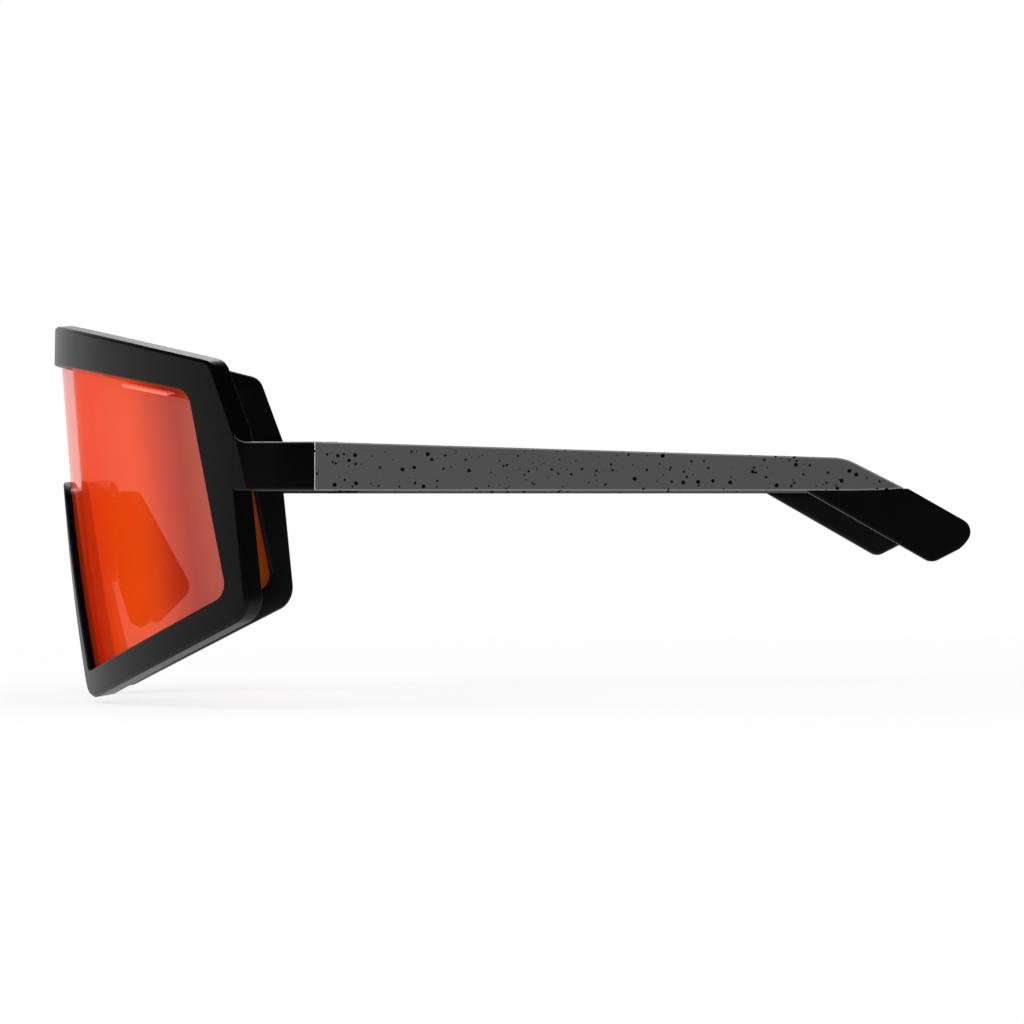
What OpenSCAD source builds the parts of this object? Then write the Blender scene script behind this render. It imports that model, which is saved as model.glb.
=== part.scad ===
// Sports sunglasses with one wrapped shield lens in a full rim, a nose piece on a stiff
// carrier, and two temples that fold inward on upright screws.
// Worn pose: X is the wearer's left, Y runs back along the temples and Z is up.
// The origin lies on the mid-plane, where the bridge of the nose lies under the nose gap.

/* [Front frame] */
// Radius that the front face wraps round
wrap_r = 77; // [72:0.5:84]
// Lean of the front, top edge forward, in degrees
lean = 4.3; // [2:0.1:7]
// How far the front face stands ahead of the nose, at the brow
brow_ahead = 7.7; // [6.5:0.1:9]
// Height of the brow's lower edge over the nose
brow_z = 27.9; // [26:0.1:30]
// Height of the brow at the middle
brow_h = 7.6; // [6:0.1:9]
// How far the brow's top edge lies behind its lower edge
brow_back = 1.1; // [0.4:0.1:1.6]
// Height of the front from the brow's lower edge to its lowest line, at the middle
front_drop = 65.2; // [62:0.5:70]
// Depth of the rim from front to back
rim_depth = 4.2; // [4:0.1:5.2]
// Slope of the top edge, seen from the side, in degrees
top_rake = 18.1; // [14:0.1:20]
// Slope of the bottom edge, seen from the side, in degrees
bottom_rake = 23.2; // [18:0.1:26]
// Turn of the front to its upper outer corner, in degrees
shoulder_turn = 55.4; // [54:0.1:57]
// Turn of the front to its side edge, in degrees
side_turn = 58.4; // [57.7:0.1:59.5]
// Depth below the brow where the side edge becomes upright
shoulder_drop = 14; // [12:0.5:18]
// Radius of the upper outer corner
shoulder_r = 3.5; // [1:0.1:4]
// Radius of the lower outer corner
heel_r = 5; // [2:0.1:6]

/* [Lens window] */
// Slope of the window's top edge, seen from the side, in degrees
window_top_rake = 16.2; // [13:0.1:19]
// Slope of the window's bottom edge, seen from the side, in degrees
window_bottom_rake = 23.9; // [20:0.1:26]
// Height of the window at the middle, where its bottom line would cross
window_drop = 59.9; // [57:0.1:61]
// Turn of the front to the window's upper corner, in degrees
window_top_turn = 51.2; // [49:0.1:52]
// Turn of the front to the window's lower corner, in degrees
window_low_turn = 55; // [54:0.1:55.5]
// Radius of the window's upper corners
window_top_r = 2; // [1:0.1:4]
// Radius of the window's lower corners
window_low_r = 3.5; // [2:0.1:5]

/* [Nose gap] */
// Depth of the nose arch's top below the brow
arch_drop = 22.3; // [20:0.1:25]
// Half width of the nose arch at its top
arch_half = 9.4; // [8:0.1:11]
// Flare of the nose arch's sides, in degrees
arch_flare = 22.6; // [18:0.1:26]
// Radius of the nose arch's corners
arch_r = 8; // [6:0.1:8.5]
// Width of the rim round the nose
nose_rim_w = 4; // [3.6:0.1:4.6]
// Radius of the rim's lowest corner, beside the nose
toe_r = 5; // [2:0.1:6]

/* [Shield lens] */
// Thickness of the lens
lens_t = 2; // [1.6:0.1:2.2]
// How far the lens lies behind the front face
lens_set = 1.4; // [1:0.1:1.7]
// How deep the lens reaches into its groove
lens_seat = 1.2; // [0.8:0.1:1.4]
// Turn of the front to the near end of a vent slot, in degrees
vent_near_turn = 36.2; // [33:0.1:39]
// Turn of the front to the far end of a vent slot, in degrees
vent_far_turn = 45.8; // [43:0.1:48]
// Height of a vent slot
vent_h = 1.2; // [0.8:0.1:1.6]
// Distance of a vent slot's middle below the brow
vent_drop = 1.7; // [1.4:0.1:2.4]

/* [Nose piece] */
// Depth of the nose carrier behind the front face
carrier_depth = 9; // [7.5:0.1:10]
// Wall of the nose carrier
carrier_wall = 2.8; // [2.6:0.1:3]
// Depth of the carrier's legs below the brow
carrier_drop = 42; // [40:0.5:50]
// Radius of a carrier peg
peg_r = 0.7; // [0.5:0.05:0.75]
// Length of a carrier peg in the rim
peg_len = 2; // [1:0.1:2.4]
// Distance of the upper peg below the nose arch's top
peg_drop = 6; // [4:0.5:8]
// Distance from the upper peg to the lower one
peg_pitch = 9; // [6:0.5:11]
// Height of the pads' top over the nose
pad_top = 3.4; // [3:0.1:4.6]
// Height of a pad
pad_h = 25.8; // [23:0.1:27]
// Depth of a pad along its top
pad_top_deep = 3.4; // [3:0.1:5]
// Distance of a pad's rear corner behind its front top corner
pad_deep = 14.6; // [12:0.1:16]
// Distance of the rear corner below the pad's top, along the pad
pad_rear_drop = 20.5; // [18:0.1:22]
// How far back a pad's front edge ends
pad_lead = 6.4; // [5:0.1:8]
// Thickness of a pad
pad_t = 2.6; // [2.2:0.1:3]
// Radius of the core wire in the nose piece
wire_r = 0.5; // [0.3:0.05:0.6]
// How far the core wire reaches down a pad
wire_reach = 15; // [10:0.5:17]

/* [Hinges] */
// Distance of the seam between frame and temple behind the nose
seam_y = 44.5; // [42:0.5:48]
// Gap at that seam
seam_gap = 0.2; // [0.1:0.05:0.4]
// Height of the lug and of the temple at the seam
lug_h = 8.8; // [8.6:0.1:10]
// Height of the lug's underside over the nose
lug_z = 3.8; // [2:0.1:5]
// Length of the lug that runs straight back
lug_run = 6; // [4:0.1:8]
// Thickness of the lug
lug_t = 5; // [4.4:0.1:5.4]
// Radius of the hinge knuckles
knuckle_r = 2.2; // [2:0.1:2.4]
// Distance of the hinge axis behind the seam
knuckle_back = 2.2; // [1.9:0.1:3]
// Height of each outer knuckle
knuckle_h = 2.6; // [2.5:0.1:2.9]
// Radius of the hinge screw's shank
screw_r = 0.7; // [0.5:0.05:0.8]
// Radius of the hinge screw's head
screw_head_r = 1.3; // [1.1:0.05:1.5]
// Height of the hinge screw's head
screw_head_h = 0.8; // [0.5:0.1:1.2]
// Width of the hinge nut across its corners
nut_w = 2.8; // [2.4:0.1:3]
// Height of the hinge nut
nut_h = 1.4; // [1:0.1:1.6]
// Thickness of the hinge block in the temple
block_t = 2.4; // [2:0.1:2.6]
// Length of the hinge block
block_len = 15; // [12:0.5:20]
// Height of the hinge block
block_h = 6.8; // [6:0.1:7.2]
// Radius of a block screw's shank
fixing_r = 0.6; // [0.4:0.05:0.7]
// Radius of a block screw's head
fixing_head_r = 1.1; // [0.9:0.05:1.3]
// Thickness of a block screw's head
fixing_head_h = 0.7; // [0.5:0.1:1]

/* [Temples] */
// Distance of the temples' outer faces from the mid-plane
temple_x = 69; // [67:0.5:72]
// Thickness of a temple
arm_t = 3.8; // [3.5:0.1:4.2]
// Length of the temple's straight top edge
arm_top_len = 94.8; // [85:0.1:100]
// Fall of the top edge along that length
arm_fall = 2.9; // [2:0.1:3.4]
// Length of the temple from the seam to its rear point
arm_len = 105.6; // [100:0.1:112]
// Height of the rear point over the temple's underside
arm_point_h = 0.4; // [0.3:0.1:1]
// Length of the rubber tip's seat under the temple
tip_seat = 17.3; // [14:0.1:22]
// Length that the tip reaches past the temple's rear point
tip_reach = 13.6; // [10:0.1:16]
// Drop of the tip's upper end corner below the temple's underside
tip_drop = 6.7; // [5:0.1:8]
// Drop of the tip's lowest corner below the temple's underside
tip_low = 13.5; // [11:0.1:15]
// How far the lowest corner lies ahead of the tip's end
tip_heel = 7.9; // [5:0.1:9]
// Radius of the tip's upper end corner
tip_end_r = 2.4; // [1:0.1:3]
// Radius of the tip's lowest corner
tip_heel_r = 3; // [1:0.1:4]
// Thickness of a tip
tip_t = 4.2; // [3.8:0.1:4.6]
// Thickness of the metal core in temple and tip
core_t = 1.2; // [0.8:0.1:1.6]
// Width of the metal core
core_w = 2.6; // [2:0.1:3]
// Length of the core inside the temple
core_arm_len = 16; // [10:0.5:24]
// Length of the core inside the tip
core_tip_len = 14; // [10:0.5:16]

/* [Fits] */
// Clearance between pieces that are fixed together
fit = 0.05; // [0.03:0.01:0.08]
// Clearance round the hinge screw in what turns on it
run_fit = 0.06; // [0.03:0.01:0.1]
// Clearance of the lens in its groove
lens_fit = 0.1; // [0.05:0.01:0.15]
// Clearance between the temple and the knuckles beside it
swing_gap = 0.5; // [0.4:0.05:0.8]

/* [Hidden] */

$fn = 64;
wrap_fn = 240;
far = 300;
past = 1;
// How far the wrapped shells are drawn above and below the brow's lower edge
shell_up = 20;
shell_down = 80;
// The half outlines run past the mid-plane, where they are cut off
mid_p = -20;

// Places on the wrapped front, by the turn round its axis and the depth behind its face
function turn_x(a, depth = 0) = (wrap_r - depth) * sin(a);
function turn_v(a, depth = 0) = wrap_r - (wrap_r - depth) * cos(a);
// The edges are cut along a slant of 45 degrees, inward and back, and p runs across it
function turn_p(a) = (turn_x(a) + turn_v(a)) / sqrt(2);
// A straight edge in the side view: its height where the front has turned by a
function edge_w(a, w0, slope) = w0 + slope * turn_v(a);
function edge(w0, slope, a_end, n = 9) =
    [for (i = [0:n - 1]) let (a = a_end * i / n) [turn_p(a), edge_w(a, w0, slope)]];
function flip(list) = [for (i = [len(list) - 1:-1:0]) list[i]];
function unit(v) = v / norm(v);

// Arc of radius r that rounds the corner at b, between a and c
function round_corner(a, b, c, r, n = 6) =
    let (
        to_a = unit(a - b),
        to_c = unit(c - b),
        half = acos(max(-1, min(1, to_a * to_c))) / 2,
        mid = b + unit(to_a + to_c) * r / sin(half),
        start = b + to_a * r / tan(half) - mid,
        stop = b + to_c * r / tan(half) - mid,
        a0 = atan2(start[1], start[0]),
        sweep = atan2(start[0] * stop[1] - start[1] * stop[0], start * stop)
    )
    [for (i = [0:n]) mid + r * [cos(a0 + sweep * i / n), sin(a0 + sweep * i / n)]];

// Outline of the front's left half, across the slant
top_slope = -tan(top_rake);
bottom_slope = tan(bottom_rake);
shoulder = [turn_p(shoulder_turn), edge_w(shoulder_turn, brow_h, top_slope)];
side_top = [turn_p(side_turn), -shoulder_drop];
heel = [turn_p(side_turn), edge_w(side_turn, -front_drop, bottom_slope)];
function front_outline() =
    let (
        top = edge(brow_h, top_slope, shoulder_turn),
        bottom = edge(-front_drop, bottom_slope, side_turn),
        top_last = top[len(top) - 1],
        low_last = bottom[len(bottom) - 1]
    )
    concat(
        [[mid_p, brow_h]], top, round_corner(top_last, shoulder, side_top, shoulder_r),
        [side_top], round_corner(side_top, heel, low_last, heel_r),
        flip(bottom), [[mid_p, -front_drop]]
    );

// Outline of the window's left half, grown outward for the lens and its groove
window_top_slope = -tan(window_top_rake);
window_low_slope = tan(window_bottom_rake);
function window_outline(grow) =
    let (
        top = edge(grow, window_top_slope, window_top_turn),
        bottom = edge(-window_drop - grow, window_low_slope, window_low_turn),
        upper = [turn_p(window_top_turn) + grow, edge_w(window_top_turn, grow, window_top_slope)],
        lower = [turn_p(window_low_turn) + grow,
            edge_w(window_low_turn, -window_drop - grow, window_low_slope)]
    )
    concat(
        [[mid_p, grow]], top,
        round_corner(top[len(top) - 1], upper, lower, window_top_r + grow),
        round_corner(upper, lower, bottom[len(bottom) - 1], window_low_r + grow),
        flip(bottom), [[mid_p, -window_drop - grow]]
    );

// Outline of the nose arch seen from the front, grown outward over the lens
arch_slope = tan(arch_flare);
function arch_x(w, grow) = arch_half + (-arch_drop - w) * arch_slope + grow / cos(arch_flare);
function arch_outline(grow, low) =
    let (
        top = -arch_drop + grow,
        corner = [arch_x(top, grow), top],
        foot = [arch_x(low, grow), low],
        arc = round_corner(foot, corner, [0, top], arch_r + grow, 8)
    )
    concat([foot], arc, [for (q = flip(arc)) [-q[0], q[1]]], [[-foot[0], foot[1]]]);

// Places of the hinges
arm_in = temple_x - arm_t;
hinge_x = arm_in - swing_gap - knuckle_r;
hinge_y = seam_y + knuckle_back;
lug_top = lug_z + lug_h;
lug_mid_z = lug_z + lug_h / 2;
lug_end = seam_y - seam_gap / 2;
arm_start = seam_y + seam_gap / 2;

module mirrored() {
    children();
    mirror([1, 0, 0]) children();
}

module on_front() {
    translate([0, -brow_ahead, brow_z]) rotate([lean, 0, 0]) children();
}

// A half shell between two depths behind the front face, whose brow part leans back
module wrap_shell(from, to, lean_back = 0) {
    translate([0, wrap_r, 0]) difference() {
        union() {
            translate([0, 0, -shell_down])
                cylinder(r = wrap_r - from, h = shell_down, $fn = wrap_fn);
            cylinder(
                r1 = wrap_r - from, r2 = wrap_r - from - lean_back * shell_up / brow_h,
                h = shell_up, $fn = wrap_fn
            );
        }
        translate([0, 0, -shell_down - past])
            cylinder(r = wrap_r - to, h = shell_down + shell_up + 2 * past, $fn = wrap_fn);
        translate([-far / 2, 0, -far / 2]) cube(far);
    }
}

module slanted(points) {
    intersection() {
        rotate([90, 0, 45]) linear_extrude(height = far, center = true) polygon(points);
        translate([0, -far / 2, -far / 2]) cube(far);
    }
}

module forward(points) {
    rotate([90, 0, 0]) linear_extrude(height = far, center = true) polygon(points);
}

module across(points, x_in, x_out) {
    translate([x_in, 0, 0]) rotate([90, 0, 90]) linear_extrude(height = x_out - x_in)
        polygon(points);
}

// The rim's lowest corner beside the nose, and what rounds it
function low_w(x) = edge_w(asin(x / wrap_r), -front_drop, bottom_slope);
toe_x = arch_x(low_w(arch_x(-front_drop, -nose_rim_w)), -nose_rim_w);
toe = [toe_x, low_w(toe_x)];
module toe_cut() {
    up = [arch_x(toe[1] + toe_r, -nose_rim_w), toe[1] + toe_r];
    out = [toe[0] + toe_r, low_w(toe[0] + toe_r)];
    arc = round_corner(up, toe, out, toe_r);
    forward(concat([toe + [-past, 0], toe + [-past, -past], toe + [toe_r, -past]], flip(arc)));
}

// The part of the rim where the lug starts, and how far it stays within the rim's faces
rim_at = side_turn - 1.2;
lug_skin = 0.4;
lug_w = (lug_mid_z - brow_z - turn_v(rim_at) * sin(lean)) / cos(lean);
function rim_point(depth) = [
    turn_x(rim_at, depth),
    -brow_ahead + turn_v(rim_at, depth) * cos(lean) - lug_w * sin(lean)
];
lug_out = temple_x - fit;
lug_in = temple_x - lug_t;
// Half the width of a knuckle's arm, and how deep that arm starts within the lug
knuckle_arm = knuckle_r * 0.75;
lug_bite = 1;

module lug() {
    translate([0, 0, lug_z]) linear_extrude(height = lug_h) polygon([
        rim_point(lug_skin), [lug_out, lug_end - lug_run], [lug_out, lug_end],
        [lug_in, lug_end], [lug_in, lug_end - lug_run], rim_point(rim_depth - lug_skin)
    ]);
    for (z = [lug_z, lug_top - knuckle_h]) translate([0, 0, z]) {
        translate([hinge_x, hinge_y, 0]) cylinder(r = knuckle_r, h = knuckle_h);
        linear_extrude(height = knuckle_h) polygon([
            [hinge_x - knuckle_arm, hinge_y], [hinge_x - knuckle_arm, lug_end - 2 * lug_bite],
            [lug_in + lug_bite, lug_end - lug_run + lug_bite], [lug_in + lug_bite, lug_end],
            [hinge_x + knuckle_arm, hinge_y]
        ]);
    }
}

module hinge_bores() {
    translate([hinge_x, hinge_y, 0]) {
        translate([0, 0, lug_z - past]) cylinder(r = screw_r + fit, h = lug_h + 2 * past);
        translate([0, 0, lug_z - past])
            cylinder(r = screw_head_r + fit, h = screw_head_h + fit + past);
        translate([0, 0, lug_top - nut_h - fit])
            cylinder(r = nut_w / 2 + fit, h = nut_h + fit + past, $fn = 6);
    }
}

// The pegs stand in the rim beside the lens groove
peg_wall = 0.35;
peg_grow = -lens_seat - lens_fit - peg_wall - peg_r;
peg_rows = [-arch_drop - peg_drop, -arch_drop - peg_drop - peg_pitch];
module pegs(r, len) {
    for (w = peg_rows) {
        x = arch_x(w, peg_grow);
        v = wrap_r - sqrt(pow(wrap_r - rim_depth, 2) - x * x);
        translate([x, v + past, w]) rotate([90, 0, 0]) cylinder(r = r, h = len + past);
    }
}

module front_frame() {
    color([0.1, 0.1, 0.1]) difference() {
        union() {
            on_front() mirrored() difference() {
                intersection() {
                    wrap_shell(0, rim_depth, brow_back);
                    slanted(front_outline());
                }
                difference() {
                    slanted(window_outline(0));
                    forward(arch_outline(0, -far / 2));
                }
                toe_cut();
            }
            mirrored() lug();
        }
        on_front() {
            difference() {
                intersection() {
                    wrap_shell(lens_set - lens_fit, lens_set + lens_t + lens_fit);
                    mirrored() slanted(window_outline(lens_seat + lens_fit));
                }
                forward(arch_outline(-lens_seat - lens_fit, -far / 2));
            }
            forward(arch_outline(-nose_rim_w, -far / 2));
            mirrored() pegs(peg_r + fit, peg_len + fit);
        }
        mirrored() hinge_bores();
    }
}

// A vent slot is as long as the turn from its near end to its far end, with round ends
module vent_slot() {
    near = [turn_p(vent_near_turn), edge_w(vent_near_turn, -vent_drop, window_top_slope)];
    end = [turn_p(vent_far_turn), edge_w(vent_far_turn, -vent_drop, window_top_slope)];
    tilt = atan2(end[1] - near[1], end[0] - near[0]);
    slanted(concat(
        [for (a = [90:20:270]) near + vent_h / 2 * [cos(a + tilt), sin(a + tilt)]],
        [for (a = [-90:20:90]) end + vent_h / 2 * [cos(a + tilt), sin(a + tilt)]]
    ));
}

module shield_lens() {
    color([0.95, 0.35, 0.2]) on_front() difference() {
        intersection() {
            wrap_shell(lens_set, lens_set + lens_t);
            mirrored() slanted(window_outline(lens_seat));
        }
        forward(arch_outline(-lens_seat, -far / 2));
        mirrored() vent_slot();
    }
}

// The carrier is a stiff arch behind the nose rim, with pegs in the rim
carrier_out = -0.3;
carrier_in = carrier_out - carrier_wall;
module carrier_arch(outer, inner, low) {
    difference() {
        forward(arch_outline(outer, low));
        forward(arch_outline(inner, -far / 2));
    }
}

// Each pad is a plate behind the carrier, flared and splayed like the side of a nose
pad_splay = 10;
pad_gap = 0.3;
pad_w = (pad_top - brow_z) / cos(lean);
carrier_back_v = wrap_r - sqrt(pow(wrap_r - carrier_depth, 2) - pow(arch_x(pad_w, carrier_out), 2));
pad_at = [
    arch_x(pad_w, carrier_in),
    -brow_ahead + carrier_back_v * cos(lean) - pad_w * sin(lean) + pad_t * sin(pad_splay) + pad_gap,
    pad_top
];
// A point in a pad, by its depth in the plate, its distance back and its height
function in_pad(t, y, s) =
    let (x1 = t * cos(arch_flare) - s * sin(arch_flare), z1 = t * sin(arch_flare) + s * cos(arch_flare))
    pad_at + [x1 * cos(pad_splay) + y * sin(pad_splay), y * cos(pad_splay) - x1 * sin(pad_splay), z1];

module pad_place() {
    translate(pad_at) rotate([0, 0, -pad_splay]) rotate([0, -arch_flare, 0]) children();
}

// The foot of a pad's front edge, the bend in that edge as shares of its lead and length,
// and the radii of the outline's corners
pad_foot = [1.6, 1];
pad_bend = [0.68, 0.7];
pad_top_r = 0.8;
pad_back_r = 1.2;
pad_rear_r = 2.4;
pad_foot_r = 0.4;
pad_long = pad_h / cos(arch_flare);
pad_outline = let (
    front_top = [0, 0],
    rear_top = [pad_top_deep, 0],
    rear = [pad_deep, -pad_rear_drop],
    low = [pad_lead + pad_foot[0], -pad_long],
    front_low = [pad_lead, -pad_long + pad_foot[1]],
    front_bend = [pad_lead * pad_bend[0], -pad_long * pad_bend[1]]
) concat(
    round_corner(front_bend, front_top, rear_top, pad_top_r),
    round_corner(front_top, rear_top, rear, pad_back_r),
    round_corner(rear_top, rear, low, pad_rear_r),
    round_corner(rear, low, front_low, pad_top_r),
    round_corner(low, front_low, front_bend, pad_foot_r), [front_bend]
);

// The core wire runs from one pad over the arch to the other
wire_half = 6;
wire_back = 7;
wire_bend = [0.8, -3.2];
wire_foot = 0.48;
wire_top = [wire_half, wire_back, -arch_drop + carrier_out - carrier_wall / 2];
wire_points = [
    [
        wire_top[0],
        -brow_ahead + wire_top[1] * cos(lean) - wire_top[2] * sin(lean),
        brow_z + wire_top[1] * sin(lean) + wire_top[2] * cos(lean)
    ],
    in_pad(pad_t / 2, pad_top_deep * wire_bend[0], wire_bend[1]),
    in_pad(pad_t / 2, pad_deep * wire_foot, -wire_reach)
];

// The wire's straight stretches run past each bend and into one another
wire_lap = 0.6;
module rod(a, b, r) {
    d = b - a;
    translate(a - wire_lap * d / norm(d)) rotate([0, acos(d[2] / norm(d)), atan2(d[1], d[0])])
        cylinder(r = r, h = norm(d) + 2 * wire_lap);
}

module wire(r) {
    top = wire_points[0];
    rod([-top[0], top[1], top[2]], top, r);
    mirrored() for (i = [0:1]) rod(wire_points[i], wire_points[i + 1], r);
}

module nose_carrier() {
    color([0.15, 0.15, 0.15]) difference() {
        on_front() union() {
            intersection() {
                wrap_shell(rim_depth + fit, carrier_depth);
                carrier_arch(carrier_out, carrier_in, -carrier_drop);
            }
            mirrored() pegs(peg_r, peg_len);
        }
        wire(wire_r + fit);
    }
}

module nose_core_wire() {
    color([0.7, 0.7, 0.72]) wire(wire_r);
}

module nose_pad() {
    difference() {
        pad_place() across(pad_outline, 0, pad_t);
        wire(wire_r + fit);
    }
}

module nose_pad_left() {
    color([0.08, 0.08, 0.08]) nose_pad();
}

module nose_pad_right() {
    color([0.08, 0.08, 0.08]) mirror([1, 0, 0]) nose_pad();
}

// The nut's place, and how far below the lug's top the screw ends
nut_z = lug_top - nut_h - fit / 2;
screw_short = 0.2;
module hinge_screw() {
    translate([hinge_x, hinge_y, lug_z]) {
        cylinder(r = screw_head_r, h = screw_head_h);
        cylinder(r = screw_r, h = lug_h - screw_short);
    }
}

module hinge_nut() {
    translate([hinge_x, hinge_y, nut_z]) difference() {
        cylinder(r = nut_w / 2, h = nut_h, $fn = 6);
        translate([0, 0, -past]) cylinder(r = screw_r + fit / 2, h = nut_h + 2 * past);
    }
}

module hinge_screw_left() {
    color([0.6, 0.6, 0.62]) hinge_screw();
}

module hinge_screw_right() {
    color([0.6, 0.6, 0.62]) mirror([1, 0, 0]) hinge_screw();
}

module hinge_nut_left() {
    color([0.75, 0.6, 0.3]) hinge_nut();
}

module hinge_nut_right() {
    color([0.75, 0.6, 0.3]) mirror([1, 0, 0]) hinge_nut();
}

// The block that joins the tongue to the temple, grown by g for its pocket
module block_body(g = 0, open = 0) {
    translate([arm_in - open, arm_start - open, lug_mid_z - block_h / 2 - g])
        cube([block_t + g + open, block_len + g + open, block_h + 2 * g]);
}

// The block's screws stand at these shares of its length and bite this share of the wall
fixing_rows = [for (share = [0.45, 0.82]) arm_start + block_len * share];
fixing_bite = 0.6;
module fixings(shank_r, head_r, head_h, len) {
    for (y = fixing_rows) translate([arm_in, y, lug_mid_z]) rotate([0, 90, 0]) {
        cylinder(r = head_r, h = head_h);
        cylinder(r = shank_r, h = len);
    }
}

fixing_len = block_t + (arm_t - block_t) * fixing_bite;
tongue_h = lug_h - 2 * knuckle_h - 2 * fit;
module hinge_block() {
    difference() {
        union() {
            block_body();
            translate([hinge_x, hinge_y, lug_mid_z - tongue_h / 2]) {
                cylinder(r = knuckle_r, h = tongue_h);
                translate([0, -knuckle_arm, 0])
                    cube([arm_in - hinge_x + block_t / 2, 2 * knuckle_arm, tongue_h]);
            }
        }
        translate([hinge_x, hinge_y, lug_z]) cylinder(r = screw_r + run_fit, h = lug_h);
        fixings(fixing_r + fit, fixing_head_r + fit, fixing_head_h + fit, arm_t);
    }
}

module hinge_block_left() {
    color([0.1, 0.1, 0.1]) hinge_block();
}

module hinge_block_right() {
    color([0.1, 0.1, 0.1]) mirror([1, 0, 0]) hinge_block();
}

module block_screws() {
    fixings(fixing_r, fixing_head_r, fixing_head_h, fixing_len);
}

module block_screws_left() {
    color([0.6, 0.6, 0.62]) block_screws();
}

module block_screws_right() {
    color([0.6, 0.6, 0.62]) mirror([1, 0, 0]) block_screws();
}

// The temple's underside rises to its rear point
arm_end = arm_start + arm_len;
arm_rise_len = 9.8;
rear_point = [arm_end, lug_z + arm_point_h];
underside = [
    [arm_end - arm_rise_len, lug_z],
    [arm_end - arm_rise_len * 0.45, lug_z + arm_point_h * 0.3],
    rear_point
];
seat_start = arm_end - tip_seat;
tip_end = [arm_end + tip_reach, lug_z - tip_drop];
tip_heel_at = [tip_end[0] - tip_heel, lug_z - tip_low];
tip_outline = let (drop = [0, -fit]) concat(
    [[seat_start, lug_z - fit]], [for (q = underside) q + drop],
    round_corner(rear_point, tip_end, tip_heel_at, tip_end_r),
    round_corner(tip_end, tip_heel_at, [seat_start, lug_z - fit], tip_heel_r)
);

// The metal core is a strip that bends down from the temple into the tip
core_bend_in = 4;
core_bend_up = 3;
core_bend = [seat_start + core_bend_in, lug_z + core_bend_up];
core_dir = unit((tip_end + tip_heel_at) / 2 - core_bend);
core_start = core_bend - [core_arm_len, 0];
core_end = core_bend + core_dir * (core_bend_up / -core_dir[1] + core_tip_len);
function strip(a, b, c, w) =
    let (
        d1 = unit(b - a),
        d2 = unit(c - b),
        n1 = [-d1[1], d1[0]] * w / 2,
        n2 = [-d2[1], d2[0]] * w / 2,
        nb = unit(n1 + n2) * w / 2 / sqrt((1 + d1 * d2) / 2)
    )
    [a - n1, b - nb, c - n2, c + n2, b + nb, a + n1];
core_x = temple_x - arm_t / 2;
module core(grow = 0) {
    across(
        strip(core_start - [grow, 0], core_bend, core_end + core_dir * grow, core_w + 2 * grow),
        core_x - core_t / 2 - grow, core_x + core_t / 2 + grow
    );
}

module temple_arm() {
    difference() {
        across(concat(
            [[arm_start, lug_z]], underside,
            [[arm_start + arm_top_len, lug_top - arm_fall], [arm_start, lug_top]]
        ), arm_in, temple_x);
        block_body(fit, past);
        fixings(fixing_r + fit / 2, fixing_r + fit / 2, fixing_len + fit, fixing_len + fit);
        core(fit);
    }
}

module temple_arm_left() {
    color([0.32, 0.32, 0.33]) temple_arm();
}

module temple_arm_right() {
    color([0.32, 0.32, 0.33]) mirror([1, 0, 0]) temple_arm();
}

module temple_core_left() {
    color([0.7, 0.7, 0.72]) core();
}

module temple_core_right() {
    color([0.7, 0.7, 0.72]) mirror([1, 0, 0]) core();
}

module temple_tip() {
    difference() {
        across(tip_outline, temple_x - tip_t, temple_x);
        core(fit);
    }
}

module temple_tip_left() {
    color([0.03, 0.03, 0.03]) temple_tip();
}

module temple_tip_right() {
    color([0.03, 0.03, 0.03]) mirror([1, 0, 0]) temple_tip();
}

front_frame();
shield_lens();
nose_carrier();
nose_core_wire();
nose_pad_left();
nose_pad_right();
hinge_screw_left();
hinge_screw_right();
hinge_nut_left();
hinge_nut_right();
hinge_block_left();
hinge_block_right();
block_screws_left();
block_screws_right();
temple_arm_left();
temple_arm_right();
temple_core_left();
temple_core_right();
temple_tip_left();
temple_tip_right();
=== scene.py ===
import bpy
import numpy as np
from math import asin, atan2, cos, pi, radians, sin, sqrt, tan
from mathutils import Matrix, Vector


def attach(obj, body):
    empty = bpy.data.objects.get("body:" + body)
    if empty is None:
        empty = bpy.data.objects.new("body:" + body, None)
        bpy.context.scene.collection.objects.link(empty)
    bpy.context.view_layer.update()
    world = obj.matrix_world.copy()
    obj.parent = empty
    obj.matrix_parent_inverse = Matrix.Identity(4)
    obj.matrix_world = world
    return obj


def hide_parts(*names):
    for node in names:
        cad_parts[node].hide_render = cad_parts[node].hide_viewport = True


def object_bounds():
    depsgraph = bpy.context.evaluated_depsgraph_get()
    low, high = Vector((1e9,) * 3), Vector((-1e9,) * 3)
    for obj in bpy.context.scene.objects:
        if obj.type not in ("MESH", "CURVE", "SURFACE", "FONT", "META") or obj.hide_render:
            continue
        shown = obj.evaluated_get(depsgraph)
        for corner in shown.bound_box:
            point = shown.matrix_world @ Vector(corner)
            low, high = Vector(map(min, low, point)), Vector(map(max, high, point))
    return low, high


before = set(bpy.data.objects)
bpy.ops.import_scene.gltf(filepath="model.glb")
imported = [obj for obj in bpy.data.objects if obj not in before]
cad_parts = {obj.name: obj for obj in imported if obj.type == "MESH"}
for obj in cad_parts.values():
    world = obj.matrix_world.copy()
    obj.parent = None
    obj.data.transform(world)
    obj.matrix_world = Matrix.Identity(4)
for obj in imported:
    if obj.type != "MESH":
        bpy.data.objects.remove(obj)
cad_box = [list(corner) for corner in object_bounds()]

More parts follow.
